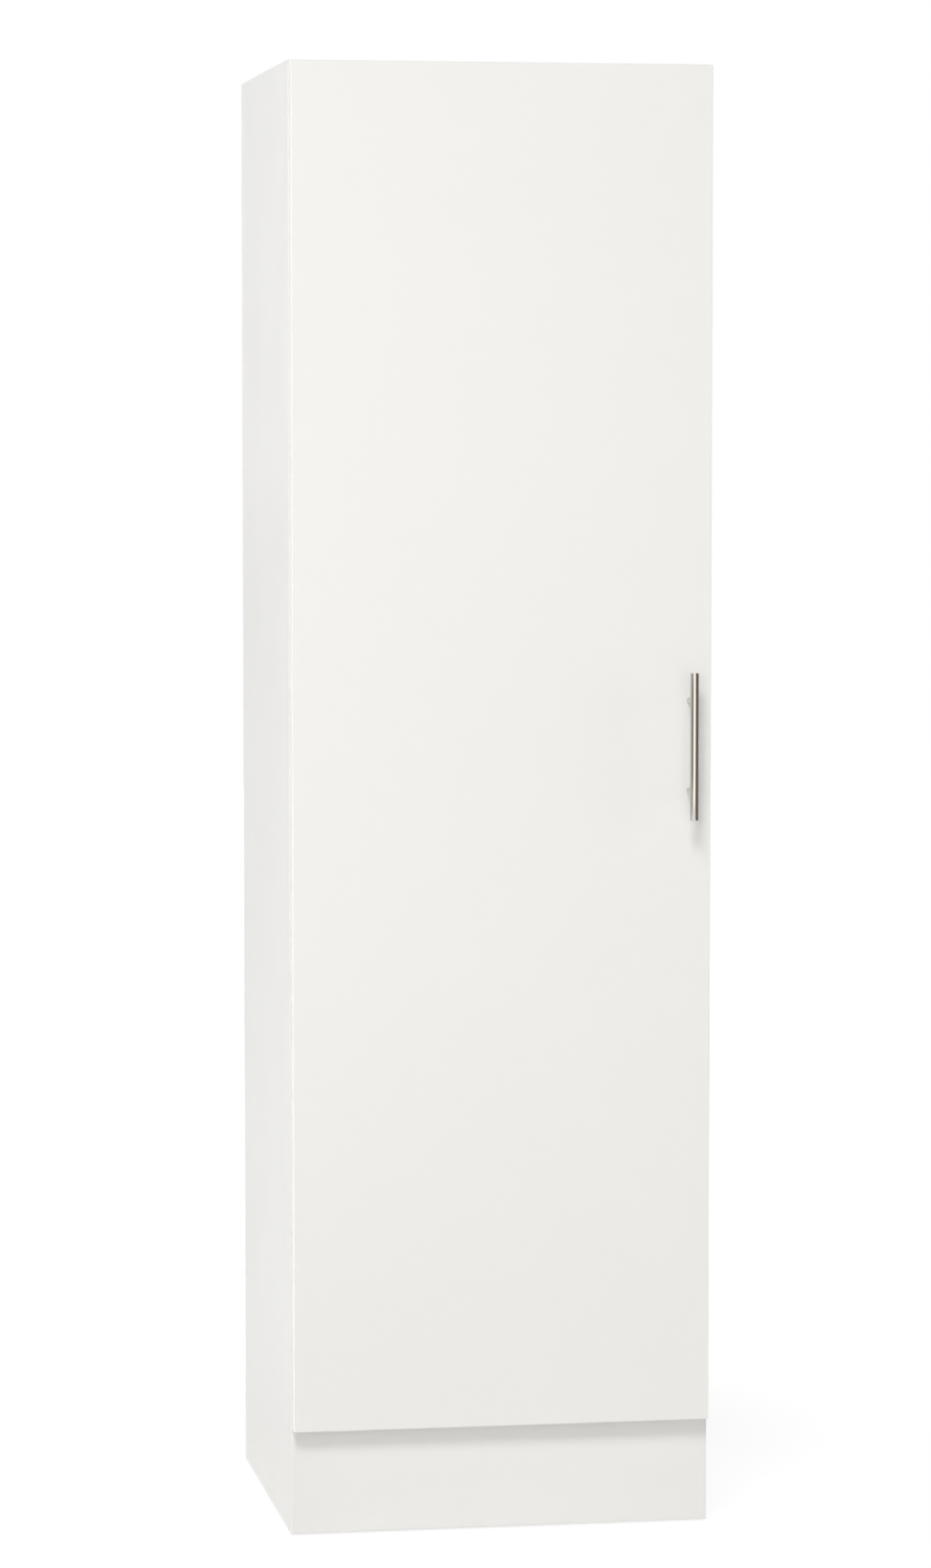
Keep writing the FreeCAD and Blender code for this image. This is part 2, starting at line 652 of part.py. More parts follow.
def door_bumpers():
    """Soft discs on the door's back that meet the right side panel's edge."""
    x = SIDE_OUTER - BOARD / 2
    levels = (DOOR_BOTTOM + BUMPER_INSET, DOOR_TOP - BUMPER_INSET)
    return group(
        rod(Vector(x, DOOR_BACK, z), Y_AXIS, DOOR_GAP - BUMPER_FREE_GAP, BUMPER_DIAMETER)
        for z in levels
    )


# ----------------------------------------------------------------------- hinges
def pin(centre, half):
    """A hinge pin across the whole hinge."""
    return disc(centre, PIN_RADIUS, -half, half)


def eye(centre, z0, z1):
    """The tool for a pin hole."""
    return disc(centre, PIN_RADIUS + FIT_PLAY, z0, z1)


def hinge_cup():
    """The round cup with its screw flange and the cheeks that hold its pins."""
    outer = rod(CUP_CENTRE, -Y_AXIS, CUP_DEPTH, CUP_DIAMETER)
    rim = rod(CUP_CENTRE, Y_AXIS, CUP_FLANGE, CUP_DIAMETER + 2 * CUP_RIM)
    ears = box(CUP_SCREW_LINE - CUP_EAR_WIDTH / 2, CUP_SCREW_LINE + CUP_EAR_WIDTH / 2,
               DOOR_BACK, DOOR_BACK + CUP_FLANGE, -CUP_EAR_LENGTH / 2, CUP_EAR_LENGTH / 2)
    ears = softened(ears, CUP_EAR_RADIUS, lambda e: along(e, Y_AXIS))
    shell = fused([outer, rim, ears])
    well = rod(CUP_CENTRE + Y_AXIS * CUP_FLANGE, -Y_AXIS, CUP_DEPTH + CUP_FLANGE - CUP_WALL,
               CUP_DIAMETER - 2 * CUP_WALL)
    screw_holes = mirrored(
        rod(Vector(CUP_SCREW_LINE, DOOR_BACK, CUP_SCREW_SPACING / 2), Y_AXIS, CUP_FLANGE,
            CUP_SCREW + 2 * FIT_PLAY)
    )
    shell = drilled(shell, [well] + screw_holes)
    left = INNER_CUP_PIN.x - CHEEK_WIDTH / 2
    cheek = box(left - CHEEK_WIDTH, left + CHEEK_WIDTH, DOOR_BACK - CUP_DEPTH + CUP_WALL / 2,
                DOOR_BACK - CHEEK_TOP_DEEP, CHEEK_INNER, CHEEK_INNER + CHEEK_THICKNESS)
    cheek = cheek.common(rod(CUP_CENTRE, -Y_AXIS, CUP_DEPTH, CUP_DIAMETER - CUP_WALL))
    cup = fused([shell] + mirrored(cheek))
    span = CHEEK_INNER + CHEEK_THICKNESS
    return drilled(cup, [eye(c, -span, span) for c in (INNER_CUP_PIN, OUTER_CUP_PIN)])


def cup_pins():
    """The through pin of the inner link and the two stub pins of the outer link."""
    span = CHEEK_INNER + CHEEK_THICKNESS
    return [pin(INNER_CUP_PIN, span)] + mirrored(
        disc(OUTER_CUP_PIN, PIN_RADIUS, FORK_INNER, span)
    )


def cup_screw_hole():
    """The pilot hole of a cup screw."""
    return rod(Vector(CUP_SCREW_LINE, DOOR_BACK, CUP_SCREW_SPACING / 2), -Y_AXIS,
               CUP_SCREW_LENGTH + HOLE_SPARE, CUP_SCREW + 2 * FIT_PLAY)


def cup_screw():
    """A pan-head screw through an ear of the cup's flange."""
    top = Vector(CUP_SCREW_LINE, DOOR_BACK + CUP_FLANGE, CUP_SCREW_SPACING / 2)
    return fused([
        rod(top, -Y_AXIS, CUP_FLANGE + CUP_SCREW_LENGTH, CUP_SCREW),
        rod(top, Y_AXIS, CUP_SCREW_HEAD_HEIGHT, CUP_SCREW_HEAD),
    ])


def inner_link():
    """The narrow link: a low strip under the cup's rim, then a leg to the arm."""
    cup, arm = INNER_CUP_PIN, INNER_ARM_PIN
    outline = [
        (cup.x, cup.y - INNER_EYE),
        (cup.x + INNER_ELBOW, cup.y - INNER_EYE),
        (arm.x + INNER_EYE, arm.y),
        (arm.x - INNER_EYE, arm.y),
        (cup.x + INNER_KNEE, cup.y + INNER_STRIP_TOP),
        (cup.x + INNER_KNEE - 2 * INNER_EYE, cup.y + INNER_STRIP_TOP),
        (cup.x, cup.y + INNER_EYE),
    ]
    half = INNER_LINK_HALF
    body = fused([slab(outline, -half, half)] + [disc(c, INNER_EYE, -half, half)
                                                for c in (cup, arm)])
    return drilled(body, [eye(c, -half, half) for c in (cup, arm)])


def outer_link():
    """The forked link: two goose-necked plates joined by a web, slotted at the arm."""
    cup, arm = OUTER_CUP_PIN, OUTER_ARM_PIN
    way = (arm - cup).normalize()
    across = Vector(-way.y, way.x, 0)
    width = FORK_SLOT_HALF_WIDTH + FORK_SLOT_WALL
    near, far = arm - way * FORK_SLOT_HALF_TRAVEL, arm + way * FORK_SLOT_HALF_TRAVEL
    low_end, high_end = near - across * width, near + across * width
    outline = [
        (cup.x, cup.y - FORK_EYE),
        (cup.x + FORK_LEG_RIGHT, cup.y - FORK_EYE),
        (cup.x + FORK_LEG_RIGHT, cup.y + FORK_SHOULDER),
        (cup.x + FORK_LEG_RIGHT + FORK_EYE, cup.y + FORK_TURN),
        (low_end.x, low_end.y),
        (high_end.x, high_end.y),
        (cup.x + FORK_LEG_RIGHT, cup.y + FORK_TURN + 2 * FORK_EYE),
        (cup.x + FORK_LEG_LEFT, cup.y + FORK_SHOULDER),
        (cup.x + FORK_LEG_LEFT, cup.y + FORK_STRIP_TOP),
        (cup.x + FORK_EYE * 2, cup.y + FORK_STRIP_TOP),
        (cup.x, cup.y + FORK_EYE),
    ]
    z0, z1 = FORK_INNER, FORK_INNER + FORK_PLATE
    end = slab([(p.x, p.y) for p in (near - across * width, far - across * width,
                                     far + across * width, near + across * width)], z0, z1)
    plate = fused([
        slab(outline, z0, z1),
        end,
        disc(cup, FORK_EYE, z0, z1),
        disc(near, width, z0, z1),
        disc(far, width, z0, z1),
    ])
    slot = [disc(c, FORK_SLOT_HALF_WIDTH, z0, z1) for c in (near, far)]
    side = across * FORK_SLOT_HALF_WIDTH
    slot.append(slab([(p.x, p.y) for p in (near - side, far - side, far + side, near + side)],
                     z0, z1))
    plate = drilled(plate, slot + [eye(cup, z0, z1)])
    start = arm - way * FORK_WEB_START + across * width
    stop = arm - way * FORK_WEB_END + across * width
    web = slab([(p.x, p.y) for p in (start, stop, stop - across * FORK_WEB,
                                     start - across * FORK_WEB)], -z0, z0)
    return fused(mirrored(plate) + [web])


def hinge_arm():
    """The channel-section arm over the mounting plate, holding both arm pins."""
    wall, front = HINGE_SIDE, CARCASS_FRONT
    outline = [
        (wall + INNER_ARM_PIN_OUT - ARM_LOBE_INNER, front + INNER_ARM_PIN_BACK),
        (wall + INNER_ARM_PIN_OUT + ARM_LOBE_INNER, front + INNER_ARM_PIN_BACK),
        (wall + OUTER_ARM_PIN_OUT + ARM_LOBE_OUTER, front + OUTER_ARM_PIN_BACK),
        (wall + ARM_TOP, front + ARM_WEB_START),
        (wall + ARM_BACK_HEIGHT, front + ARM_SLOPE_END),
        (wall + ARM_BACK_HEIGHT, front + ARM_END),
        (wall + ARM_FOOT, front + ARM_END),
        (wall + ARM_FOOT, front + ARM_WEB_START),
    ]
    solid = fused([
        slab(outline, -ARM_HALF, ARM_HALF),
        disc(INNER_ARM_PIN, ARM_LOBE_INNER, -ARM_HALF, ARM_HALF),
        disc(OUTER_ARM_PIN, ARM_LOBE_OUTER, -ARM_HALF, ARM_HALF),
    ])
    inside = ARM_HALF - ARM_WALL
    channel = slab([
        (wall, front - ARM_TOP),
        (wall + 2 * ARM_TOP, front - ARM_TOP),
        (wall + 2 * ARM_TOP, front + ARM_WEB_START),
        (wall + ARM_TOP - ARM_WALL, front + ARM_WEB_START),
        (wall + ARM_BACK_HEIGHT - ARM_WALL, front + ARM_SLOPE_END),
        (wall + ARM_BACK_HEIGHT - ARM_WALL, front + ARM_END),
        (wall, front + ARM_END),
    ], -inside, inside)
    tools = [channel] + [eye(c, -ARM_HALF, ARM_HALF) for c in (INNER_ARM_PIN, OUTER_ARM_PIN)]
    tools += [
        rod(Vector(wall, front + back, 0), X_AXIS, ARM_TOP, ARM_SCREW + 2 * FIT_PLAY)
        for back in ARM_SCREWS_BACK
    ]
    return drilled(solid, tools)


def arm_screw(back):
    """An adjusting screw through the arm's web into the plate's ridge."""
    web = Vector(HINGE_SIDE + ARM_BACK_HEIGHT, CARCASS_FRONT + back, 0)
    return fused([
        rod(web, -X_AXIS, ARM_SCREW_LENGTH, ARM_SCREW),
        rod(web, X_AXIS, ARM_SCREW_HEAD_HEIGHT, ARM_SCREW_HEAD),
    ])


def plate_screw_hole():
    """The hole of a mounting-plate screw in the side panel."""
    start = Vector(HINGE_SIDE, CARCASS_FRONT + PLATE_SCREW_BACK, PLATE_SCREW_SPACING / 2)
    return rod(start, -X_AXIS, PLATE_SCREW_LENGTH + HOLE_SPARE, PLATE_SCREW + 2 * FIT_PLAY)


def plate_screw():
    """A screw through a wing of the mounting plate."""
    top = Vector(HINGE_SIDE + PLATE_BASE, CARCASS_FRONT + PLATE_SCREW_BACK,
                 PLATE_SCREW_SPACING / 2)
    return fused([
        rod(top, -X_AXIS, PLATE_BASE + PLATE_SCREW_LENGTH, PLATE_SCREW),
        rod(top, X_AXIS, PLATE_SCREW_HEAD_HEIGHT, PLATE_SCREW_HEAD),
    ])


def hinge_plate():
    """The cross-shaped mounting plate with the ridge that carries the arm."""
    wall, front = HINGE_SIDE, CARCASS_FRONT
    base = box(wall, wall + PLATE_BASE, front + ARM_WEB_START, front + RIDGE_END,
               -PLATE_BASE_HALF, PLATE_BASE_HALF)
    middle = front + PLATE_SCREW_BACK
    wings = box(wall, wall + PLATE_BASE, middle - PLATE_WING_WIDTH / 2,
                middle + PLATE_WING_WIDTH / 2, -PLATE_WING_HALF, PLATE_WING_HALF)
    wings = softened(wings, PLATE_WING_RADIUS, lambda e: along(e, X_AXIS))
    ridge = box(wall, wall + ARM_BACK_HEIGHT - ARM_WALL, front + RIDGE_START,
                front + RIDGE_END, -RIDGE_HALF, RIDGE_HALF)
    holes = mirrored(
        rod(Vector(wall, middle, PLATE_SCREW_SPACING / 2), X_AXIS, PLATE_BASE,
            PLATE_SCREW + 2 * FIT_PLAY)
    )
    holes += [
        rod(Vector(wall + ARM_BACK_HEIGHT - ARM_SCREW_LENGTH - HOLE_SPARE, front + back, 0),
            X_AXIS, ARM_SCREW_LENGTH, ARM_SCREW + 2 * FIT_PLAY)
        for back in ARM_SCREWS_BACK
    ]
    return drilled(fused([base, wings, ridge]), holes)


# --------------------------------------------------------------------- assembly
def carcass_nodes():
    """The boards and the fittings that join them."""
    bolts, locks = cam_fittings()
    brackets = [plinth_bracket(side) for side in (-1, 1)]
    joint_low = BACK_JOINT_HEIGHT - JOINT_WEB / 2
    joint_high = BACK_JOINT_HEIGHT + JOINT_WEB / 2
    nodes = {name: fixed_board(underside) for name, underside in FIXED_BOARDS.items()}
    nodes.update({
        "left_side_panel": side_panel(-1),
        "right_side_panel": side_panel(1),
        "adjustable_shelf": adjustable_shelf(),
        "back_panel_lower": back_panel(PLINTH_TOP, joint_low),
        "back_panel_upper": drilled(back_panel(joint_high, HEIGHT), wall_screw_holes()),
        "back_joint_strip": back_joint_strip(),
        "wall_rail": wall_rail(),
        "plinth_board": plinth_board(),
        "plinth_brackets": group(block for block, _ in brackets),
        "plinth_bracket_screws": group(s for _, screws in brackets for s in screws),
        "floor_glides": group(floor_glide(side, y) for side in (-1, 1) for y in glide_rows()),
        "cam_bolts": bolts,
        "cam_locks": locks,
        "wooden_dowels": wooden_dowels(),
        "shelf_pins": group(shelf_pin(side, y) for side in (-1, 1) for y in SHELF_COLUMNS),
    })
    return nodes


def door_nodes():
    """The door, its handle and its bumpers."""
    lower, upper = handle_post_levels()
    return {
        "door_panel": door_panel(),
        "handle_bar": handle_bar(),
        "handle_post_lower": handle_post(lower),
        "handle_post_upper": handle_post(upper),
        "handle_screws": handle_screws(),
        "door_bumpers": door_bumpers(),
    }


def hinge_nodes():
    """Four hinges: the large pieces one by one, pins and screws in groups."""
    single = {
        "hinge_plate": hinge_plate(),
        "hinge_arm": hinge_arm(),
        "hinge_inner_link": inner_link(),
        "hinge_outer_link": outer_link(),
        "hinge_cup": hinge_cup(),
    }
    nodes = {
        f"{name}_{i}": solid.translated(Vector(0, 0, level))
        for name, solid in single.items()
        for i, level in enumerate(HINGE_LEVELS, start=1)
    }
    arm_pins = [pin(c, ARM_HALF + PIN_RIVET) for c in (INNER_ARM_PIN, OUTER_ARM_PIN)]
    nodes.update({
        "hinge_arm_pins": group(at_hinges(arm_pins)),
        "hinge_cup_pins": group(at_hinges(cup_pins())),
        "hinge_plate_screws": group(at_hinges(mirrored(plate_screw()))),
        "hinge_arm_screws": group(at_hinges([arm_screw(back) for back in ARM_SCREWS_BACK])),
        "hinge_cup_screws": group(at_hinges(mirrored(cup_screw()))),
    })
    return nodes


def main():
    """Build every node and write one STEP file each."""
    os.makedirs("parts", exist_ok=True)
    for name, shape in {**carcass_nodes(), **door_nodes(), **hinge_nodes()}.items():
        shape.exportStep(f"parts/{name}.step")
        print(f"{name}: {len(shape.Solids)} solid(s), {shape.Volume / 1000:.1f} cm3")


if __name__ == "__main__":
    main()
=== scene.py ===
import logging
import math
from dataclasses import dataclass
from enum import Enum
from typing import Callable, Iterable, Sequence

import bmesh
import bpy
from mathutils import Matrix, Vector


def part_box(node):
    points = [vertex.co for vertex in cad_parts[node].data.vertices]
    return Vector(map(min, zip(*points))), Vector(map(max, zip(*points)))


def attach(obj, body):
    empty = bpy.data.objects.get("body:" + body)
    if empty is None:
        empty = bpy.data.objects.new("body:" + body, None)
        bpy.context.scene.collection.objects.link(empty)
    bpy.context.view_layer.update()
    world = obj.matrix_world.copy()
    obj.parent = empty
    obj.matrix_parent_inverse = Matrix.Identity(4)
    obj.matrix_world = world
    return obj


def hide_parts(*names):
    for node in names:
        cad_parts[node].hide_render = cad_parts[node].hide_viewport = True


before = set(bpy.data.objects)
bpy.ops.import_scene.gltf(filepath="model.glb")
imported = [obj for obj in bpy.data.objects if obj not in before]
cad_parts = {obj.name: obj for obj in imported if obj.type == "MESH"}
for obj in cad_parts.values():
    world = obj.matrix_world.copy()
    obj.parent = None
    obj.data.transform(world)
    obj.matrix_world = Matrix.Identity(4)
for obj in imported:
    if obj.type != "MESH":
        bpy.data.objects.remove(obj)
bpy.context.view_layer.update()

# Looks of a tall single-door broom cupboard: white coated boards, a satin slab door,
# a turned steel bar handle, and four concealed hinges with their fixings.
# Everything is in metres, in the frame of the construction.

log = logging.getLogger("broom_cupboard")

MM = 0.001
FOIL_REACH = 0.15 * MM  # how deep a face's foil counts
WELD = 0.002 * MM  # corners nearer than this are one
SHARP_DEG = 35.0  # edges that turn by more than this stay crisp
FLAT_DEG = 0.5  # faces that turn by less than this are one
ROUND = 48  # flats round a small turned piece
PLACES = 5  # decimals of a metre that tell two measures apart
AT_ORIGIN = Matrix.Identity(4)
MOST = (0.3, 0.7)  # where most of a noise's values lie

Colour = tuple[float, float, float]
Point = tuple[float, float, float]
Box = tuple[Vector, Vector]


def tone(red: float, green: float, blue: float) -> Colour:
    """Turns a display colour into the linear one that shaders take.

    Args:
        red: Red from 0 to 255.
        green: Green from 0 to 255.
        blue: Blue from 0 to 255.

    Returns:
        The linear colour, each channel from 0 to 1.
    """
    def linear(value: float) -> float:
        """Undoes the sRGB display curve for one channel."""
        share = value / 255
        return share / 12.92 if share <= 0.04045 else ((share + 0.055) / 1.055) ** 2.4

    return linear(red), linear(green), linear(blue)


def shaded(colour: Colour, share: float) -> Colour:
    """The colour, lighter or darker by a factor."""
    return tuple(min(1.0, channel * share) for channel in colour)


class Axis(Enum):
    """The three directions of the frame, by their place in a vector."""

    X = 0
    Y = 1
    Z = 2

    @property
    def unit(self) -> Vector:
        """The unit vector along the axis."""
        return Vector([float(i == self.value) for i in range(3)])


@dataclass(frozen=True)
class Plane:
    """A side of a board: where it lies and how deep its covering reaches."""

    axis: Axis
    place: float
    reach: float = FOIL_REACH


# ------------------------------------------------------------------- shader tools
class NodeGraph:
    """A node tree, with short calls to add nodes and fill their inputs."""

    def __init__(self, tree: bpy.types.NodeTree) -> None:
        """Takes the tree to build in."""
        self.tree = tree

    def feed(self, socket: bpy.types.NodeSocket, value: object) -> None:
        """Links a socket to another, or gives it a constant.

        Args:
            socket: The input to fill.
            value: An output socket, a number or a colour.
        """
        if isinstance(value, bpy.types.NodeSocket):
            self.tree.links.new(value, socket)
        elif isinstance(value, tuple) and len(value) == 3 and socket.type == "RGBA":
            socket.default_value = (*value, 1.0)
        else:
            socket.default_value = value

    def add(self, kind: str, inputs: dict[int | str, object], output: int | str = 0,
            **settings: object) -> bpy.types.NodeSocket:
        """Adds a node and fills its inputs.

        Args:
            kind: Blender's name for the node type.
            inputs: What to feed, by the number or name of the input.
            output: Number or name of the output that is asked for.
            **settings: Properties to set on the node.

        Returns:
            The output.
        """
        made = self.tree.nodes.new(kind)
        for name, value in settings.items():
            setattr(made, name, value)
        for key, value in inputs.items():
            self.feed(made.inputs[key], value)
        return made.outputs[output]

    def math(self, operation: str, *values: object) -> bpy.types.NodeSocket:
        """Works on numbers, each a socket or a constant."""
        return self.add("ShaderNodeMath", dict(enumerate(values)), operation=operation)

    def either(self, masks: Sequence[bpy.types.NodeSocket]) -> bpy.types.NodeSocket:
        """The greatest of several masks.

        Args:
            masks: At least one mask.

        Returns:
            The joined mask.
        """
        joined = masks[0]
        for mask in masks[1:]:
            joined = self.math("MAXIMUM", joined, mask)
        return joined

    def end(self, kind: str, shader: bpy.types.NodeSocket) -> None:
        """Ends the tree with an output node of the given type."""
        self.feed(self.tree.nodes.new(kind).inputs[0], shader)

    def show(self, kind: str, lighting: bpy.types.NodeSocket,
             seen: bpy.types.NodeSocket) -> None:
        """Ends a tree that lights in one way and is seen in another.

        Args:
            kind: Blender's name for the output node.
            lighting: The shader for light that spreads on.
            seen: The shader for what is seen straight, in gloss or through clear things.
        """
        rays = ("Is Camera Ray", "Is Glossy Ray", "Is Transmission Ray")
        straight = self.either([self.add("ShaderNodeLightPath", {}, ray) for ray in rays])
        self.end(kind, self.add("ShaderNodeMixShader", {0: straight, 1: lighting, 2: seen}))


def cleared(owner: bpy.types.Material | bpy.types.World) -> NodeGraph:
    """The node tree of a material or world, emptied.

    Args:
        owner: The material or world.

    Returns:
        Its tree, ready to build in.
    """
    owner.use_nodes = True
    owner.node_tree.nodes.clear()
    return NodeGraph(owner.node_tree)


class ShaderGraph(NodeGraph):
    """A solid material's node tree, with calls for what the finishes share."""

    def __init__(self, name: str) -> None:
        """Starts a material.

        Args:
            name: The material's name.
        """
        self.material = bpy.data.materials.new(name)
        self.material.use_nodes = True
        super().__init__(self.material.node_tree)
        self.shader = self.tree.nodes["Principled BSDF"]
        self.place = self.add("ShaderNodeTexCoord", {}, "Object")

    def set(self, **values: object) -> None:
        """Fills inputs of the main shader, with underscores for spaces in their names."""
        for name, value in values.items():
            self.feed(self.shader.inputs[name.replace("_", " ")], value)

    def noise(self, scale: float, detail: float,
              stretch: tuple[float, float, float] = (1, 1, 1)) -> bpy.types.NodeSocket:
        """Adds smooth noise that stays fixed to the piece.

        Args:
            scale: Features per metre.
            detail: How many finer layers it has.
            stretch: Factor on each axis, large where the noise is fine.

        Returns:
            The noise value, about 0.5 on average.
        """
        return self.add("ShaderNodeTexNoise", {"Vector": self.stretched(stretch),
                                               "Scale": scale, "Detail": detail})

    def stretched(self, stretch: tuple[float, float, float]) -> bpy.types.NodeSocket:
        """The piece's coordinates, multiplied axis by axis.

        Args:
            stretch: Factor on each axis.

        Returns:
            The stretched coordinates.
        """
        if stretch == (1, 1, 1):
            return self.place
        return self.add("ShaderNodeVectorMath", {0: self.place, 1: stretch},
                        operation="MULTIPLY")

    def remap(self, value: bpy.types.NodeSocket, source: tuple[float, float],
              target: tuple[float, float]) -> bpy.types.NodeSocket:
        """Maps one range of numbers to another, held at its ends."""
        return self.add("ShaderNodeMapRange", dict(enumerate((value, *source, *target))))

    def mix(self, factor: object, first: object, second: object) -> bpy.types.NodeSocket:
        """Mixes two colours; the factor is the second one's share."""
        return self.add("ShaderNodeMix", {0: factor, 6: first, 7: second}, 2,
                        data_type="RGBA")

    def blend(self, factor: object, first: object, second: object) -> bpy.types.NodeSocket:
        """Mixes two numbers; the factor is the second one's share."""
        return self.add("ShaderNodeMix", {0: factor, 2: first, 3: second}, data_type="FLOAT")

    def relief(self, height: bpy.types.NodeSocket, depth: float) -> None:
        """Roughens the surface, by a depth in metres where the height is 1."""
        self.set(Normal=self.add("ShaderNodeBump", {"Distance": depth, "Height": height}))

    def near(self, plane: Plane) -> bpy.types.NodeSocket:
        """1 where the surface lies by a plane, and 0 elsewhere."""
        along = self.add("ShaderNodeSeparateXYZ", {0: self.place}, plane.axis.value)
        return self.math("COMPARE", along, plane.place, plane.reach)


# ----------------------------------------------------------------------- finishes
FOIL_WHITE = tone(243, 242, 239)
DOOR_WHITE = tone(244, 243, 240)
# Edge band white: partly a paler band tone, partly a painted highlight on the door's edges.
BAND_WHITE_PAINTED_HIGHLIGHT = tone(250, 249, 247)
PRINT_WHITE = tone(240, 239, 236)
JOINT_GREY = tone(172, 168, 160)
CHIP_TAN, CHIP_PALE, CHIP_DARK = tone(150, 116, 76), tone(212, 184, 140), tone(104, 74, 46)
FIBRE_BROWN, FIBRE_PALE, FIBRE_DARK = tone(118, 86, 56), tone(158, 122, 84), tone(84, 60, 40)
WOOD_TAN, WOOD_PALE, WOOD_FLECK = tone(206, 164, 118), tone(228, 194, 150), tone(160, 112, 72)


@dataclass(frozen=True)
class Finish:
    """What a surface is made of: a name for its material and the record's slot."""

    name: str
    slot: str

    def material(self) -> bpy.types.Material:
        """Makes the material when it is first asked for.

        Returns:
            The finish's material.
        """
        made = bpy.data.materials.get(self.name)
        if made is None:
            graph = ShaderGraph(self.name)
            self.paint(graph)
            made = graph.material
        return made

    def paint(self, graph: ShaderGraph) -> None:
        """Fills in the material's graph; every finish has its own way."""
        raise NotImplementedError


def chipboard(graph: ShaderGraph) -> tuple[bpy.types.NodeSocket, bpy.types.NodeSocket]:
    """Pressed wood chips, as they show on a sawn edge or in a drilled hole.

    Args:
        graph: The material to add it to.

    Returns:
        The colour and the relief of the chips.
    """
    chips = graph.add("ShaderNodeTexVoronoi",
                      {"Vector": graph.stretched((0.45, 0.45, 1.0)), "Scale": 700.0}, "Color")
    shade, pick = (graph.add("ShaderNodeSeparateColor", {0: chips}, i) for i in range(2))
    light = graph.mix(shade, CHIP_TAN, CHIP_PALE)
    colour = graph.mix(graph.remap(pick, (0.86, 0.9), (0.0, 1.0)), light, CHIP_DARK)
    return colour, graph.noise(900.0, 4.0)


@dataclass(frozen=True)
class CoatedBoard(Finish):
    """White foil on chipboard: foil on the named sides, bare chips elsewhere."""

    colour: Colour
    sides: tuple[Plane, ...]
    band: Plane | None = None
    gloss_roughness: float = 0.42
    joint_line: float = 0.12 * MM
    joint_shade: float = 0.35
    core_relief: float = 0.25 * MM
    pearl_share: float = 0.03

    def paint(self, graph: ShaderGraph) -> None:
        """Paints foil, edge band and bare core by where the surface lies.

        Args:
            graph: The material's graph.
        """
        foil = graph.mix(graph.noise(3.0, 2.0), shaded(self.colour, 0.985),
                         shaded(self.colour, 1.012))
        covered = list(self.sides)
        if self.band is not None:
            covered.append(self.band)
            joint = Plane(self.band.axis, self.band.place + self.band.reach, self.joint_line)
            faint_line = graph.math("MULTIPLY", graph.near(joint), self.joint_shade)
            foil = graph.mix(faint_line, foil, JOINT_GREY)
        foil_mask = graph.either([graph.near(side) for side in covered])
        core, core_relief = chipboard(graph)
        gloss = graph.remap(graph.noise(9.0, 4.0), MOST,
                            (self.gloss_roughness - 0.04, self.gloss_roughness + 0.04))
        graph.set(Base_Color=graph.mix(foil_mask, core, foil),
                  Roughness=graph.blend(foil_mask, 0.9, gloss),
                  Specular_IOR_Level=0.45)
        pearl = graph.math("MULTIPLY", graph.noise(1100.0, 2.0), self.pearl_share)
        graph.relief(graph.blend(foil_mask, core_relief, pearl), self.core_relief)


@dataclass(frozen=True)
class SatinFoil(Finish):
    """The door's white foil, with a faint ripple in its sheen and glossier edge bands whose
    whiter colour is partly their own paler tone and partly a painted highlight.
    """

    colour: Colour
    bands: tuple[Plane, ...]
    band_colour_painted_highlight: Colour
    gloss_roughness: float = 0.31
    band_roughness: float = 0.12
    ripple: float = 0.004 * MM

    def paint(self, graph: ShaderGraph) -> None:
        """Paints the foil with a slow drift in colour and gloss, and its bands.

        Args:
            graph: The material's graph.
        """
        face = graph.mix(graph.noise(2.2, 2.0), shaded(self.colour, 0.99),
                         shaded(self.colour, 1.01))
        gloss = graph.remap(graph.noise(6.0, 4.0), MOST,
                            (self.gloss_roughness - 0.02, self.gloss_roughness + 0.04))
        band = graph.either([graph.near(side) for side in self.bands])
        # The bands' whiter colour is partly their own tone and partly a painted highlight
        # along the door's edges.
        graph.set(Base_Color=graph.mix(band, face, self.band_colour_painted_highlight),
                  Roughness=graph.blend(band, gloss, self.band_roughness),
                  Specular_IOR_Level=0.5, Coat_Weight=0.15, Coat_Roughness=0.18)
        graph.relief(graph.noise(45.0, 1.0), self.ripple)


@dataclass(frozen=True)
class Hardboard(Finish):
    """Thin pressed board: printed white towards the inside, brown fibre behind."""

    colour: Colour
    front: Plane
    relief: float = 0.05 * MM

    def paint(self, graph: ShaderGraph) -> None:
        """Paints the printed face and the bare fibre of the others.

        Args:
            graph: The material's graph.
        """
        printed = graph.near(self.front)
        fibre = graph.noise(260.0, 6.0, (1.0, 1.0, 0.35))
        flecks = graph.noise(1500.0, 2.0)
        specks = graph.remap(flecks, (0.62, 0.72), (0.0, 0.55))
        brown = graph.mix(specks, graph.mix(fibre, FIBRE_BROWN, FIBRE_PALE), FIBRE_DARK)
        drift = graph.remap(graph.noise(4.0, 2.0), MOST, (0.0, 1.0))
        white = graph.mix(drift, shaded(self.colour, 0.98), self.colour)
        graph.set(Base_Color=graph.mix(printed, brown, white),
                  Roughness=graph.blend(printed, 0.78, 0.5), Specular_IOR_Level=0.35)
        graph.relief(graph.math("ADD", fibre, graph.math("MULTIPLY", flecks, 0.4)),
                     self.relief)


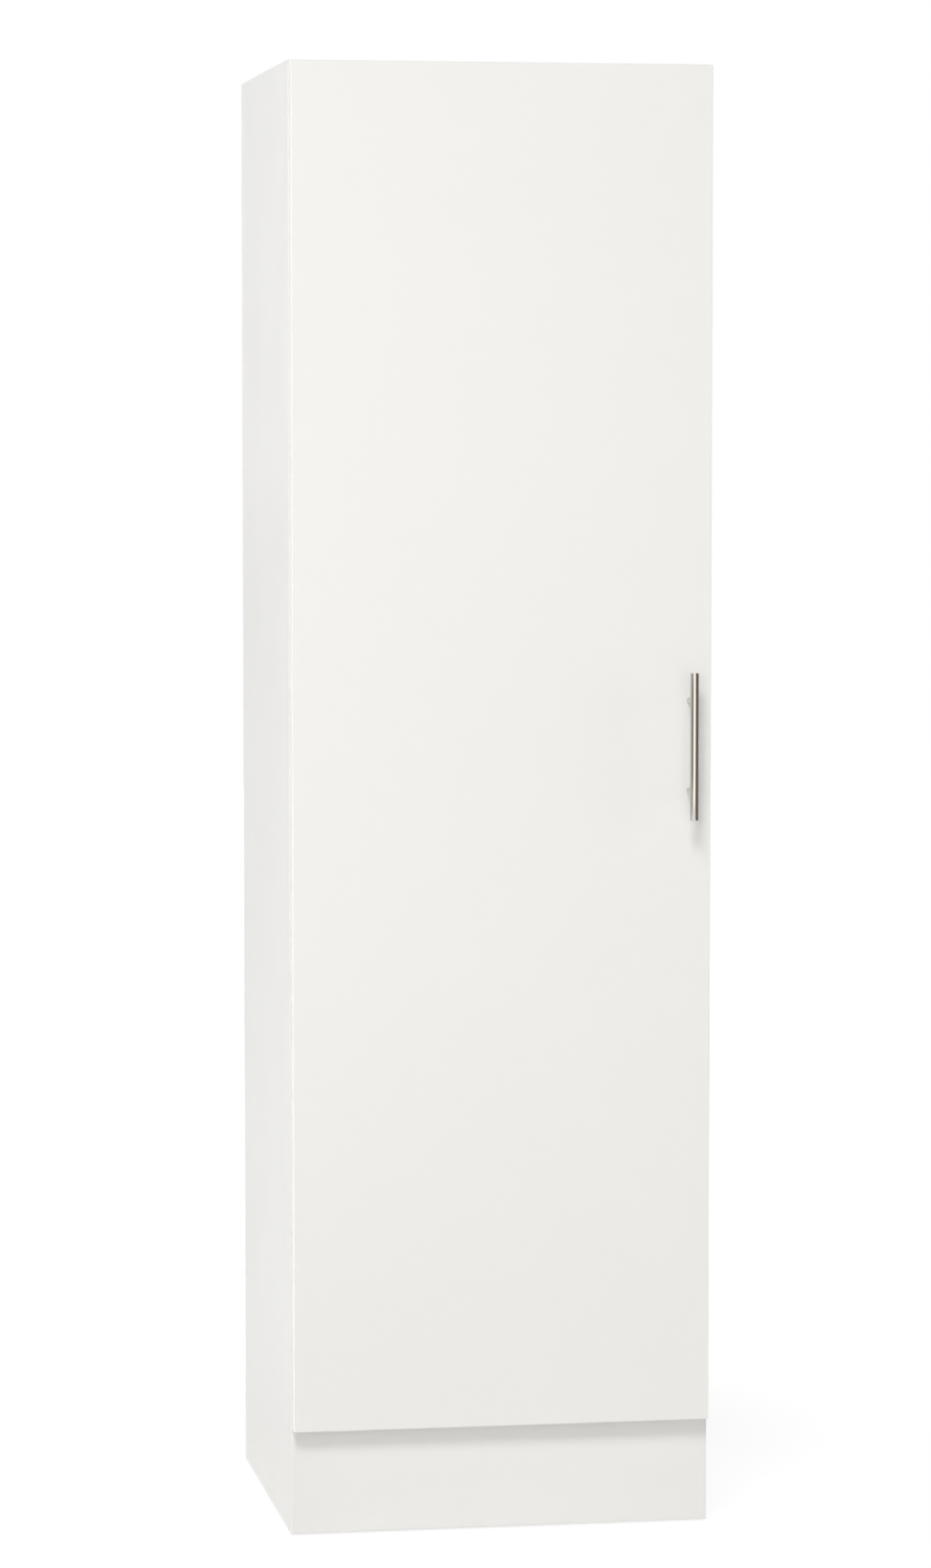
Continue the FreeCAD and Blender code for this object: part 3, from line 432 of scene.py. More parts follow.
@dataclass(frozen=True)
class TurnedSteel(Finish):
    """Stainless steel with fine marks running round a bar."""

    colour: Colour
    along: Axis
    gloss_roughness: float = 0.1
    fineness: float = 60.0

    def paint(self, graph: ShaderGraph) -> None:
        """Paints the metal, with marks that are close together along the bar.

        Args:
            graph: The material's graph.
        """
        stretch = tuple(self.fineness if axis is self.along else 1.0 for axis in Axis)
        marks = graph.noise(130.0, 3.0, stretch)
        haze = graph.noise(35.0, 3.0)
        rough = graph.remap(marks, (0.25, 0.75),
                            (self.gloss_roughness - 0.03, self.gloss_roughness + 0.04))
        rough = graph.math("ADD", rough, graph.remap(haze, (0.35, 0.8), (0.0, 0.03)))
        graph.set(Base_Color=graph.mix(marks, shaded(self.colour, 0.95), self.colour),
                  Roughness=rough, Metallic=1.0)


@dataclass(frozen=True)
class PlatedMetal(Finish):
    """Plated or die-cast metal, with faint clouds and rub marks."""

    colour: Colour
    gloss_roughness: float = 0.24
    cloud: float = 0.06
    grain: float = 0.004 * MM

    def paint(self, graph: ShaderGraph) -> None:
        """Paints the plating.

        Args:
            graph: The material's graph.
        """
        clouds = graph.noise(140.0, 4.0)
        rubs = graph.noise(900.0, 2.0, (1.0, 0.12, 1.0))
        duller = shaded(self.colour, 1 - self.cloud * 2)
        rough = graph.remap(clouds, MOST,
                            (self.gloss_roughness, self.gloss_roughness + self.cloud * 2))
        rough = graph.math("ADD", rough, graph.remap(rubs, (0.6, 0.75), (0.0, 0.08)))
        graph.set(Base_Color=graph.mix(clouds, duller, self.colour), Roughness=rough,
                  Metallic=1.0)
        graph.relief(graph.noise(2200.0, 2.0), self.grain)


@dataclass(frozen=True)
class MouldedPlastic(Finish):
    """Injection-moulded plastic with the fine grain of its mould."""

    colour: Colour
    gloss_roughness: float = 0.45
    softness: float = 0.0
    grain: float = 0.012 * MM

    def paint(self, graph: ShaderGraph) -> None:
        """Paints the plastic; a soft one lets some light through.

        Args:
            graph: The material's graph.
        """
        drift = graph.noise(60.0, 3.0)
        rough = graph.remap(drift, MOST,
                            (self.gloss_roughness - 0.05, self.gloss_roughness + 0.06))
        graph.set(Base_Color=graph.mix(drift, shaded(self.colour, 0.96), self.colour),
                  Roughness=rough, Specular_IOR_Level=0.4)
        if self.softness:
            graph.set(Transmission_Weight=self.softness, IOR=1.46)
        graph.relief(graph.noise(2600.0, 2.0), self.grain)


@dataclass(frozen=True)
class SteamedBeech(Finish):
    """Beech with short flecks along the grain."""

    grain: Axis
    fleck_shape: float = 0.08
    relief: float = 0.05 * MM

    def paint(self, graph: ShaderGraph) -> None:
        """Paints the wood.

        Args:
            graph: The material's graph.
        """
        stretch = tuple(self.fleck_shape if axis is self.grain else 1.0 for axis in Axis)
        figure = graph.noise(900.0, 5.0, stretch)
        flecks = graph.noise(2600.0, 2.0, stretch)
        darker = graph.remap(flecks, (0.62, 0.7), (0.0, 0.5))
        wood = graph.mix(darker, graph.mix(figure, WOOD_TAN, WOOD_PALE), WOOD_FLECK)
        graph.set(Base_Color=wood, Roughness=graph.remap(figure, (0.2, 0.8), (0.55, 0.72)))
        graph.relief(figure, self.relief)


STEEL = TurnedSteel("satin_steel_bar", "steel_handle", tone(203, 200, 194), Axis.Z)
STEEL_POST = TurnedSteel("satin_steel_post", "steel_handle", tone(198, 195, 189), Axis.Y)
NICKEL = PlatedMetal("nickel_plate", "nickel", tone(214, 210, 202))
PIN_STEEL = PlatedMetal("pin_steel", "nickel", tone(196, 194, 190), 0.3, 0.08)
DIE_CAST = PlatedMetal("die_cast_zinc", "zinc", tone(186, 187, 188), 0.36, 0.1)
SCREW_STEEL = PlatedMetal("screw_steel", "bright_steel", tone(206, 207, 204), 0.26, 0.08)
WHITE_PLASTIC = MouldedPlastic("white_moulding", "white_plastic", tone(238, 238, 234))
GLIDE_PLASTIC = MouldedPlastic("glide_moulding", "glide_plastic", tone(222, 222, 218), 0.38)
CLEAR_PAD = MouldedPlastic("clear_pad", "bumper", tone(226, 229, 228), 0.2, 0.55)
BEECH = SteamedBeech("steamed_beech", "beech", Axis.X)


# -------------------------------------------------------------------- mesh tools
def stand(name: str, data: bpy.types.ID) -> bpy.types.Object:
    """Puts an object into the scene.

    Args:
        name: Its name.
        data: Its mesh, lamp or camera.

    Returns:
        The object.
    """
    made = bpy.data.objects.new(name, data)
    bpy.context.scene.collection.objects.link(made)
    return made


def dress(node: str, finish: Finish) -> None:
    """Gives a construction node its finish, through its object's own slots.

    Args:
        node: The node's name.
        finish: What it is made of.
    """
    made = finish.material()
    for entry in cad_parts[node].material_slots:
        entry.material = made
    log.info("%s: dressed in %s", node, finish.name)


def new_piece(mesh: bpy.types.Mesh, name: str, body: str, finish: Finish, node: str) -> None:
    """Puts a finished mesh into the scene as a piece of the cupboard.

    Args:
        mesh: The mesh, already in its place.
        name: The piece's name.
        body: The body it moves with.
        finish: What it is made of.
        node: The construction node that it is shown in place of.
    """
    mesh.materials.clear()
    mesh.materials.append(finish.material())
    piece = stand(name, mesh)
    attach(piece, body)
    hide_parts(node)
    log.info("%s: %d faces, rides on %s", name, len(mesh.polygons), body)


def closed(draft: bmesh.types.BMesh, name: str) -> bpy.types.Mesh:
    """Turns a draft into a mesh whose faces all look outwards.

    Args:
        draft: The draft, freed afterwards.
        name: The mesh's name.

    Returns:
        The mesh.
    """
    bmesh.ops.recalc_face_normals(draft, faces=draft.faces)
    mesh = bpy.data.meshes.new(name)
    draft.to_mesh(mesh)
    draft.free()
    return mesh


def smoothed(draft: bmesh.types.BMesh, name: str,
             smooth_below: float = SHARP_DEG) -> bpy.types.Mesh:
    """Turns a draft into a mesh that is smooth except at its sharp edges.

    Args:
        draft: The draft, freed afterwards.
        name: The mesh's name.
        smooth_below: Edges that turn by fewer degrees than this look smooth.

    Returns:
        The mesh.
    """
    mesh = closed(draft, name)
    mesh.shade_smooth()
    mesh.set_sharp_from_angle(angle=math.radians(smooth_below))
    return mesh


def join(draft: bmesh.types.BMesh, mesh: bpy.types.Mesh, place: Matrix) -> None:
    """Adds a mesh to a draft, and drops the mesh.

    Args:
        draft: What it is added to.
        mesh: The mesh.
        place: From its own axes to the frame.
    """
    mesh.transform(place)
    draft.from_mesh(mesh)
    bpy.data.meshes.remove(mesh)


def lathe(draft: bmesh.types.BMesh, profile: Sequence[tuple[float, float]], place: Matrix,
          segments: int = ROUND) -> None:
    """Turns a profile about the local Z axis and closes it.

    Args:
        draft: Where the faces go.
        profile: Radius and height of each point; the ends lie on the axis.
        place: From the local axes to the frame.
        segments: Number of flats round the axis.
    """
    turns = [2 * math.pi * i / segments for i in range(segments)]
    rings = []
    for radius, height in profile:
        if radius == 0:
            rings.append([draft.verts.new(place @ Vector((0, 0, height)))] * segments)
            continue
        points = [Vector((radius * math.cos(a), radius * math.sin(a), height)) for a in turns]
        rings.append([draft.verts.new(place @ point) for point in points])
    for low, high in zip(rings, rings[1:]):
        for i in range(segments):
            corners = [low[i], low[i - 1], high[i - 1], high[i]]
            face = [v for k, v in enumerate(corners) if v not in corners[:k]]
            draft.faces.new(face)


def facing(direction: Vector, start: Vector) -> Matrix:
    """A placement that has its Z axis along a direction, from a point."""
    turn = direction.to_track_quat("Z", "Y").to_matrix().to_4x4()
    return Matrix.Translation(start) @ turn


def welded(node: str) -> bmesh.types.BMesh:
    """A draft of a construction node, with its touching corners made one.

    Args:
        node: The node's name.

    Returns:
        The draft.
    """
    draft = bmesh.new()
    draft.from_mesh(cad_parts[node].data)
    bmesh.ops.remove_doubles(draft, verts=draft.verts, dist=WELD)
    return draft


def solids_of(node: str) -> list[Box]:
    """The box of each separate solid in a node, from the frame.

    Args:
        node: The node's name.

    Returns:
        The lowest and the highest corner of each solid, in order of height.
    """
    draft = welded(node)
    left, boxes = set(draft.verts), []
    while left:
        stack, seen = [left.pop()], []
        while stack:
            vert = stack.pop()
            seen.append(vert.co.copy())
            for edge in vert.link_edges:
                other = edge.other_vert(vert)
                if other in left:
                    left.remove(other)
                    stack.append(other)
        low = Vector([min(p[i] for p in seen) for i in range(3)])
        high = Vector([max(p[i] for p in seen) for i in range(3)])
        boxes.append((low, high))
    draft.free()
    return sorted(boxes, key=lambda box: [round(place, PLACES) for place in box[0].zxy])


def middle_of(box: Box) -> Vector:
    """The middle of a box."""
    return (box[0] + box[1]) / 2


def carved(body: bpy.types.Mesh, cutters: Iterable[bpy.types.Mesh]) -> bpy.types.Mesh:
    """Cuts closed meshes out of another.

    Args:
        body: The mesh that is cut.
        cutters: What is cut out of it.

    Returns:
        A new mesh, with the cuts.
    """
    work = stand("work", body)
    tools = []
    for cutter in cutters:
        tool = stand("cutter", cutter)
        cut = work.modifiers.new("cut", "BOOLEAN")
        cut.operation = "DIFFERENCE"
        cut.solver = "EXACT"
        cut.object = tool
        tools.append(tool)
    evaluated = work.evaluated_get(bpy.context.evaluated_depsgraph_get())
    made = bpy.data.meshes.new_from_object(evaluated)
    for item in [work, *tools]:
        bpy.data.objects.remove(item)
    return made


def block(size: Vector, place: Matrix = AT_ORIGIN, taper: float = 1.0) -> bpy.types.Mesh:
    """A cutter block whose lower end may be narrower than its upper one.

    Args:
        size: Its full length on each local axis.
        place: From the local axes to the frame.
        taper: Width of the lower end as a share of the upper one.

    Returns:
        The block's mesh, centred on the local origin.
    """
    draft = bmesh.new()
    bmesh.ops.create_cube(draft, size=1.0)
    for vert in draft.verts:
        share = taper if vert.co.z < 0 else 1.0
        vert.co = place @ Vector((vert.co.x * size.x * share, vert.co.y * size.y * share,
                                  vert.co.z * size.z))
    return closed(draft, "cutter")


def rolled_copy(node: str, name: str, body: str, finish: Finish, roll: float) -> None:
    """Rebuilds a fitting from its node, with the rolled edges of a pressing or moulding.

    Args:
        node: The construction node it stands for.
        name: The new piece's name.
        body: The body it moves with.
        finish: What it is made of.
        roll: Width of the rounding on its crisp edges.
    """
    draft = welded(node)
    bmesh.ops.dissolve_limit(draft, angle_limit=math.radians(FLAT_DEG), verts=draft.verts,
                             edges=draft.edges)
    sharp = [
        e for e in draft.edges
        if len(e.link_faces) == 2 and e.calc_face_angle(0.0) >= math.radians(SHARP_DEG)
    ]
    bmesh.ops.bevel(draft, geom=sharp, offset=roll, segments=2, profile=0.6,
                    affect="EDGES", clamp_overlap=True)
    new_piece(smoothed(draft, name), name, body, finish, node)


# ----------------------------------------------------------------------- fixings
@dataclass
class Screws:
    """The screws of one node: turned heads with a cross recess, on plain shanks.

    The recess reaches over a share of the head's radius and narrows to its taper.
    """

    node: str
    name: str
    body: str
    head_height: float
    shank: float
    dome: float
    dome_steps: int = 5
    recess_depth: float = 1.1 * MM
    recess_width: float = 0.9 * MM
    recess_reach: float = 1.15
    recess_taper: float = 0.62
    tip: float = 2.0 * MM
    tip_share: float = 0.12
    segments: int = 40
    smooth_below: float = 28.0

    def build(self) -> None:
        """Builds every screw of the node as one piece."""
        patterns: dict[tuple[float, float], bpy.types.Mesh] = {}
        draft = bmesh.new()
        for box in solids_of(self.node):
            axis, head, length, radius = self.layout(box)
            key = (round(length, PLACES), round(radius, PLACES))
            if key not in patterns:
                patterns[key] = self.pattern(length, radius)
            join(draft, patterns[key].copy(), facing(axis, head))
        mesh = smoothed(draft, self.name, self.smooth_below)
        new_piece(mesh, self.name, self.body, SCREW_STEEL, self.node)

    def layout(self, box: Box) -> tuple[Vector, Vector, float, float]:
        """Works out how one screw lies.

        Args:
            box: The box of the screw.

        Returns:
            The direction its head faces, the top of its head, its length and head radius.
        """
        size = box[1] - box[0]
        long_axis = max(range(3), key=lambda i: size[i])
        middle = middle_of(box)
        outward = Axis(long_axis).unit
        if Axis(long_axis) is Axis.X:
            outward *= -math.copysign(1.0, middle.x)
        head = middle + outward * size[long_axis] / 2
        radius = max(size[i] for i in range(3) if i != long_axis) / 2
        return outward, head, size[long_axis], radius

    def pattern(self, length: float, radius: float) -> bpy.types.Mesh:
        """One screw with the top of its head at the origin, facing +Z.

        Args:
            length: Its whole length, head included.
            radius: Radius of its head.

        Returns:
            The screw's mesh.
        """
        crown = []
        for i in range(1, self.dome_steps + 1):
            angle = math.pi / 2 * i / self.dome_steps
            crown.append((radius - self.dome * (1 - math.sin(angle)),
                          -self.dome * (1 - math.cos(angle))))
        profile = [(0.0, 0.0), (radius - self.dome, 0.0), *crown, (radius, -self.head_height),
                   (self.shank / 2, -self.head_height), (self.shank / 2, self.tip - length),
                   (self.shank * self.tip_share, -length), (0.0, -length)]
        draft = bmesh.new()
        lathe(draft, profile, AT_ORIGIN, self.segments)
        long, wide, deep = radius * self.recess_reach, self.recess_width, 2 * self.recess_depth
        arms = [Vector((long, wide, deep)), Vector((wide, long, deep))]
        return carved(closed(draft, "screw"),
                      [block(arm, taper=self.recess_taper) for arm in arms])


@dataclass
class CamLocks:
    """The round cams of the fixed boards, each with a throat for its bolt.

    The throat's height is a share of the cam's, and its reach one of the radius.
    """

    node: str = "cam_locks"
    chamfer: float = 0.5 * MM
    slot_length: float = 9.0 * MM
    slot_width: float = 1.7 * MM
    slot_depth: float = 2.4 * MM
    arrow_from_middle: float = 5.6 * MM
    arrow_size: float = 1.7 * MM
    throat: float = 6.4 * MM
    throat_height: float = 0.64
    throat_reach: float = 1.9
    smooth_below: float = 30.0

    def build(self) -> None:
        """Builds every cam, each open towards its bolt."""
        draft = bmesh.new()
        for low, high in solids_of(self.node):
            middle = middle_of((low, high))
            radius = max(high.y - low.y, high.x - low.x) / 2
            on_right = middle.x > 0
            across = low.x + radius if on_right else high.x - radius
            centre = Matrix.Translation(Vector((across, middle.y, low.z)))
            spin = Matrix.Rotation(0.0 if on_right else math.pi, 4, "Z")
            join(draft, self.cam(radius, high.z - low.z), centre @ spin)
        name = "cam_lock_castings"
        mesh = smoothed(draft, name, self.smooth_below)
        new_piece(mesh, name, "carcass", DIE_CAST, self.node)

    def cam(self, radius: float, height: float) -> bpy.types.Mesh:
        """One cam standing on the origin, open towards +X.

        Args:
            radius: Its radius.
            height: Its height.

        Returns:
            The cam's mesh.
        """
        draft = bmesh.new()
        lathe(draft, [(0.0, 0.0), (radius - self.chamfer, 0.0), (radius, self.chamfer),
                      (radius, height), (0.0, height)], AT_ORIGIN)
        long, wide, deep = self.slot_length, self.slot_width, 2 * self.slot_depth
        slots = [block(Vector(size)) for size in ((long, wide, deep), (wide, long, deep))]
        arrow = block(Vector((self.arrow_size, self.arrow_size, self.chamfer)),
                      Matrix.Translation(Vector((self.arrow_from_middle, 0, 0)))
                      @ Matrix.Rotation(math.pi / 4, 4, "Z"))
        bore = block(Vector((self.throat_reach * radius, self.throat, self.throat)),
                     Matrix.Translation(Vector((radius, 0, height * self.throat_height))))
        return carved(closed(draft, "cam"), [*slots, arrow, bore])


@dataclass
class HingePins:
    """Round pins along Z, with slightly domed rivet ends."""

    node: str
    name: str
    body: str
    dome: float = 0.25 * MM
    crown_share: float = 0.6
    crown_drop: float = 0.05 * MM
    segments: int = 24

    def build(self) -> None:
        """Builds every pin of the node as one piece."""
        draft = bmesh.new()
        for low, high in solids_of(self.node):
            radius, length = (high.x - low.x) / 2, high.z - low.z
            crown = radius * self.crown_share
            place = Matrix.Translation(Vector((*middle_of((low, high)).xy, low.z)))
            lathe(draft, [(0.0, 0.0), (crown, self.crown_drop), (radius, self.dome),
                          (radius, length - self.dome), (crown, length - self.crown_drop),
                          (0.0, length)], place, self.segments)
        new_piece(smoothed(draft, self.name), self.name, self.body, PIN_STEEL, self.node)


@dataclass
class Dowels:
    """Fluted beech dowels with chamfered ends."""

    node: str = "wooden_dowels"
    chamfer: float = 1.0 * MM
    flutes: int = 14
    flute_depth: float = 0.35 * MM
    flats_per_flute: int = 4
    rim_share: float = 0.98
    smooth_below: float = 50.0

    def build(self) -> None:
        """Builds every dowel as one piece."""
        draft = bmesh.new()
        for low, high in solids_of(self.node):
            radius, length = (high.z - low.z) / 2, high.x - low.x
            middle = middle_of((low, high))
            start = len(draft.verts)
            lathe(draft, [(0.0, 0.0), (radius - self.chamfer, 0.0), (radius, self.chamfer),
                          (radius, length - self.chamfer), (radius - self.chamfer, length),
                          (0.0, length)], facing(Axis.X.unit, Vector((low.x, *middle.yz))),
                  self.flutes * self.flats_per_flute)
            self.flute(draft, start, middle, radius)
        name = "fluted_dowels"
        mesh = smoothed(draft, name, self.smooth_below)
        new_piece(mesh, name, "carcass", BEECH, self.node)

    def flute(self, draft: bmesh.types.BMesh, start: int, middle: Vector,
              radius: float) -> None:
        """Presses the flutes into the round of the newest dowel.

        Args:
            draft: The draft that holds the dowels.
            start: Number of the newest one's first corner.
            middle: Its middle.
            radius: Its radius.
        """
        draft.verts.ensure_lookup_table()
        for vert in draft.verts[start:]:
            out = Vector((0, vert.co.y - middle.y, vert.co.z - middle.z))
            if out.length > radius * self.rim_share:
                angle = math.atan2(out.z, out.y)
                dip = self.flute_depth * (0.5 + 0.5 * math.cos(self.flutes * angle))
                vert.co -= out.normalized() * dip


# ------------------------------------------------------------------ sub-assemblies
@dataclass
class Carcass:
    """The coated boards: side panels, shelves, plinth and wall rail."""

    band: float = 1.05 * MM
    shelves: tuple[str, ...] = ("top_panel", "bottom_panel", "fixed_shelf", "adjustable_shelf")

    def build(self) -> None:
        """Dresses every board."""
        for name in ("left_side_panel", "right_side_panel"):
            self.coat(name, (Axis.X,), top=True)
        for name in self.shelves:
            self.coat(name, (Axis.Z,))
        self.coat("wall_rail", (Axis.Y,), banded=False)
        self.coat("plinth_board", (Axis.Y, Axis.X), banded=False)

    def coat(self, node: str, faces: tuple[Axis, ...], banded: bool = True,
             top: bool = False) -> None:
        """Covers a board's faces and its front edge.

        Args:
            node: The board.
            faces: Axes whose two sides carry foil.
            banded: Whether its front edge carries a band.
            top: Whether its upper end is covered too.
        """
        low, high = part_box(node)
        reach = FOIL_REACH if banded else self.band
        sides = [Plane(a, corner[a.value], reach) for a in faces for corner in (low, high)]
        if top:
            sides.append(Plane(Axis.Z, high.z))
        band = Plane(Axis.Y, low.y, self.band) if banded else None
        dress(node, CoatedBoard(f"foil_{node}", "white_board", FOIL_WHITE, tuple(sides), band))


@dataclass
class BackWall:
    """The thin back panels and the strip that joins them."""

    strip_roll: float = 0.3 * MM

    def build(self) -> None:
        """Dresses the panels and rebuilds the strip."""
        for name in ("back_panel_lower", "back_panel_upper"):
            front = Plane(Axis.Y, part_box(name)[0].y)
            dress(name, Hardboard(f"hardboard_{name}", "white_back", PRINT_WHITE, front))
        rolled_copy("back_joint_strip", "joint_strip_extrusion", "carcass", WHITE_PLASTIC,
                    self.strip_roll)


@dataclass
class Fittings:
    """The loose hardware of the carcass."""

    moulding_roll: float = 0.35 * MM
    small_roll: float = 0.2 * MM

    def build(self) -> None:
        """Builds cams, dowels, pins, brackets, screws and glides."""
        rolled_copy("plinth_brackets", "plinth_angle_blocks", "carcass", WHITE_PLASTIC,
                    self.moulding_roll)
        rolled_copy("shelf_pins", "shelf_pin_mouldings", "carcass", NICKEL, self.small_roll)
        rolled_copy("floor_glides", "floor_glide_pads", "carcass", GLIDE_PLASTIC,
                    self.small_roll)
        dress("cam_bolts", SCREW_STEEL)
        CamLocks().build()
        Dowels().build()
        Screws("plinth_bracket_screws", "bracket_screw_set", "carcass",
               head_height=2.0 * MM, shank=3.5 * MM, dome=1.1 * MM).build()


@dataclass
class Door:
    """The slab door with its soft bumpers."""

    pad_roll: float = 0.5 * MM
    band_reach: float = 0.9 * MM

    def build(self) -> None:
        """Dresses the door and rebuilds the bumpers."""
        bands = tuple(Plane(Axis.X, corner.x, self.band_reach)
                      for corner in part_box("door_panel"))
        foil = SatinFoil("door_foil", "white_door", DOOR_WHITE, bands, BAND_WHITE_PAINTED_HIGHLIGHT)
        dress("door_panel", foil)
        rolled_copy("door_bumpers", "door_bumper_pads", "door", CLEAR_PAD, self.pad_roll)


@dataclass
class BarHandle:
    """The turned steel bar on its two posts.

    The rings that its ends are faced with are shares of the radius.
    """

    chamfer: float = 0.55 * MM
    chamfer_middle: float = 0.3
    ring_depth: float = 0.12 * MM
    rings: tuple[float, ...] = (0.18, 0.3, 0.42, 0.54, 0.66, 0.78)
    segments: int = 96
    foot_flare: float = 0.35 * MM
    smooth_below: float = 30.0

    def build(self) -> None:
        """Builds the bar, the posts and the screws behind the door."""
        self.bar()
        for end in ("lower", "upper"):
            self.post(end)
        Screws("handle_screws", "handle_screw_set", "door", head_height=2.2 * MM,
               shank=4.0 * MM, dome=1.4 * MM, recess_width=1.0 * MM,
               recess_depth=1.3 * MM).build()

    def bar(self) -> None:
        """Builds the bar, with chamfered and finely faced ends."""
        low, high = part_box("handle_bar")
        radius, length = (high.x - low.x) / 2, high.z - low.z
        step = self.chamfer * self.chamfer_middle
        faced = [(radius * share, self.ring_depth * (i % 2))
                 for i, share in enumerate(self.rings)]
        end = [(0.0, self.ring_depth), *faced, (radius - self.chamfer, 0.0),
               (radius - step, step), (radius, self.chamfer)]
        far_end = [(across, length - along) for across, along in reversed(end)]
        place = Matrix.Translation(Vector((*middle_of((low, high)).xy, low.z)))
        draft = bmesh.new()
        lathe(draft, end + far_end, place, self.segments)
        name = "handle_grip"
        mesh = smoothed(draft, name, self.smooth_below)
        new_piece(mesh, name, "door", STEEL, "handle_bar")

    def post(self, end: str) -> None:
        """Builds one post, with a small foot on the door's face.

        Args:
            end: Which post, lower or upper.
        """
        node, name = f"handle_post_{end}", f"handle_stem_{end}"
        low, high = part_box(node)
        radius, length = (high.x - low.x) / 2, high.y - low.y
        middle = middle_of((low, high))
        draft = bmesh.new()
        lathe(draft, [(0.0, 0.0), (radius - self.foot_flare, 0.0), (radius, self.foot_flare),
                      (radius, length), (0.0, length)],
              facing(-Axis.Y.unit, Vector((middle.x, high.y, middle.z))))
        new_piece(smoothed(draft, name), name, "door", STEEL_POST, node)


@dataclass
class ConcealedHinges:
    """The four hinges: pressed arms, plates, cups and links, with their fixings."""

    count: int = 4
    roll: float = 0.18 * MM

    def build(self) -> None:
        """Builds the hinges one after the other, then their shared fixings."""
        families = {
            "hinge_plate": ("carcass", "plate_casting"),
            "hinge_arm": ("carcass", "arm_pressing"),
            "hinge_inner_link": ("inner_links", "inner_link_pressing"),
            "hinge_outer_link": ("outer_links", "outer_link_pressing"),
            "hinge_cup": ("door", "cup_pressing"),
        }
        for family, (body, name) in families.items():
            for i in range(1, self.count + 1):
                rolled_copy(f"{family}_{i}", f"{name}_{i}", body, NICKEL, self.roll)
        HingePins("hinge_arm_pins", "arm_pin_set", "carcass").build()
        HingePins("hinge_cup_pins", "cup_pin_set", "door").build()
        Screws("hinge_plate_screws", "plate_screw_set", "carcass", head_height=2.0 * MM,
               shank=5.0 * MM, dome=1.3 * MM, recess_width=1.1 * MM).build()
        Screws("hinge_arm_screws", "arm_screw_set", "carcass", head_height=1.8 * MM,
               shank=4.0 * MM, dome=0.9 * MM, recess_width=1.0 * MM, tip=0.6 * MM).build()
        Screws("hinge_cup_screws", "cup_screw_set", "door", head_height=1.6 * MM,
               shank=3.5 * MM, dome=1.0 * MM).build()


# -------------------------------------------------------------------------- studio
def sheet(name: str, corners: Sequence[Point],
          material: bpy.types.Material) -> bpy.types.Object:
    """A flat piece of the studio, which isn't part of the cupboard.

    Args:
        name: Its name.
        corners: Its four corners, in order.
        material: What it is made of.

    Returns:
        The sheet.
    """
    mesh = bpy.data.meshes.new(name)
    mesh.from_pydata(corners, [], [(0, 1, 2, 3)])
    mesh.materials.append(material)
    piece = stand(name, mesh)
    return piece


@dataclass
class StudioCamera:
    """A long lens, a little to the left of the door and at eye height."""

    place: Point = (-1.2051, -7.1454, 1.5856)
    turn_right_deg: float = 9.492
    tilt_deg: float = -4.249
    focal_pixels: float = 5248.7
    image_height: int = 1651
    sensor: float = 36.0
    clip: tuple[float, float] = (0.05, 60.0)

    def build(self) -> None:
        """Makes the camera and sets it as the scene's."""
        data = bpy.data.cameras.new("studio_camera")
        data.sensor_width = self.sensor
        data.lens = self.focal_pixels / self.image_height * self.sensor
        data.clip_start, data.clip_end = self.clip
        camera = stand("studio_camera", data)
        camera.location = self.place
        camera.rotation_euler = (math.radians(90 + self.tilt_deg), 0.0,
                                 -math.radians(self.turn_right_deg))
        bpy.context.scene.camera = camera


@dataclass
class SoftBox:
    """A rectangular soft lamp that looks at the middle of the cupboard."""

    name: str
    place: Point
    width: float
    height: float
    watts: float
    in_gloss: bool = True
    target: Point = (0.0, -0.2, 1.05)

    def build(self) -> None:
        """Makes the lamp."""
        data = bpy.data.lights.new(self.name, "AREA")
        data.shape = "RECTANGLE"
        data.size, data.size_y = self.width, self.height
        data.energy = self.watts
        lamp = stand(self.name, data)
        lamp.location = self.place
        view = Vector(self.target) - Vector(self.place)
        lamp.rotation_euler = view.to_track_quat("-Z", "Y").to_euler()
        lamp.visible_camera = False
        lamp.visible_glossy = self.in_gloss


@dataclass
class GlossCard:
    """An upright card that only shows as a lighter or darker band in polished metal."""

    name: str
    start: tuple[float, float]
    end: tuple[float, float]
    colour: Colour
    height: float = 2.4

    def build(self) -> None:
        """Stands the card on the floor, from one point to the other."""
        material = bpy.data.materials.new(self.name)
        graph = cleared(material)
        graph.end("ShaderNodeOutputMaterial",
                  graph.add("ShaderNodeEmission", {"Color": self.colour}))
        corners = [(*self.start, 0.0), (*self.end, 0.0), (*self.end, self.height),
                   (*self.start, self.height)]
        card = sheet(self.name, corners, material)
        card.visible_camera = False
        card.visible_diffuse = False
        card.visible_transmission = False
        card.visible_shadow = False


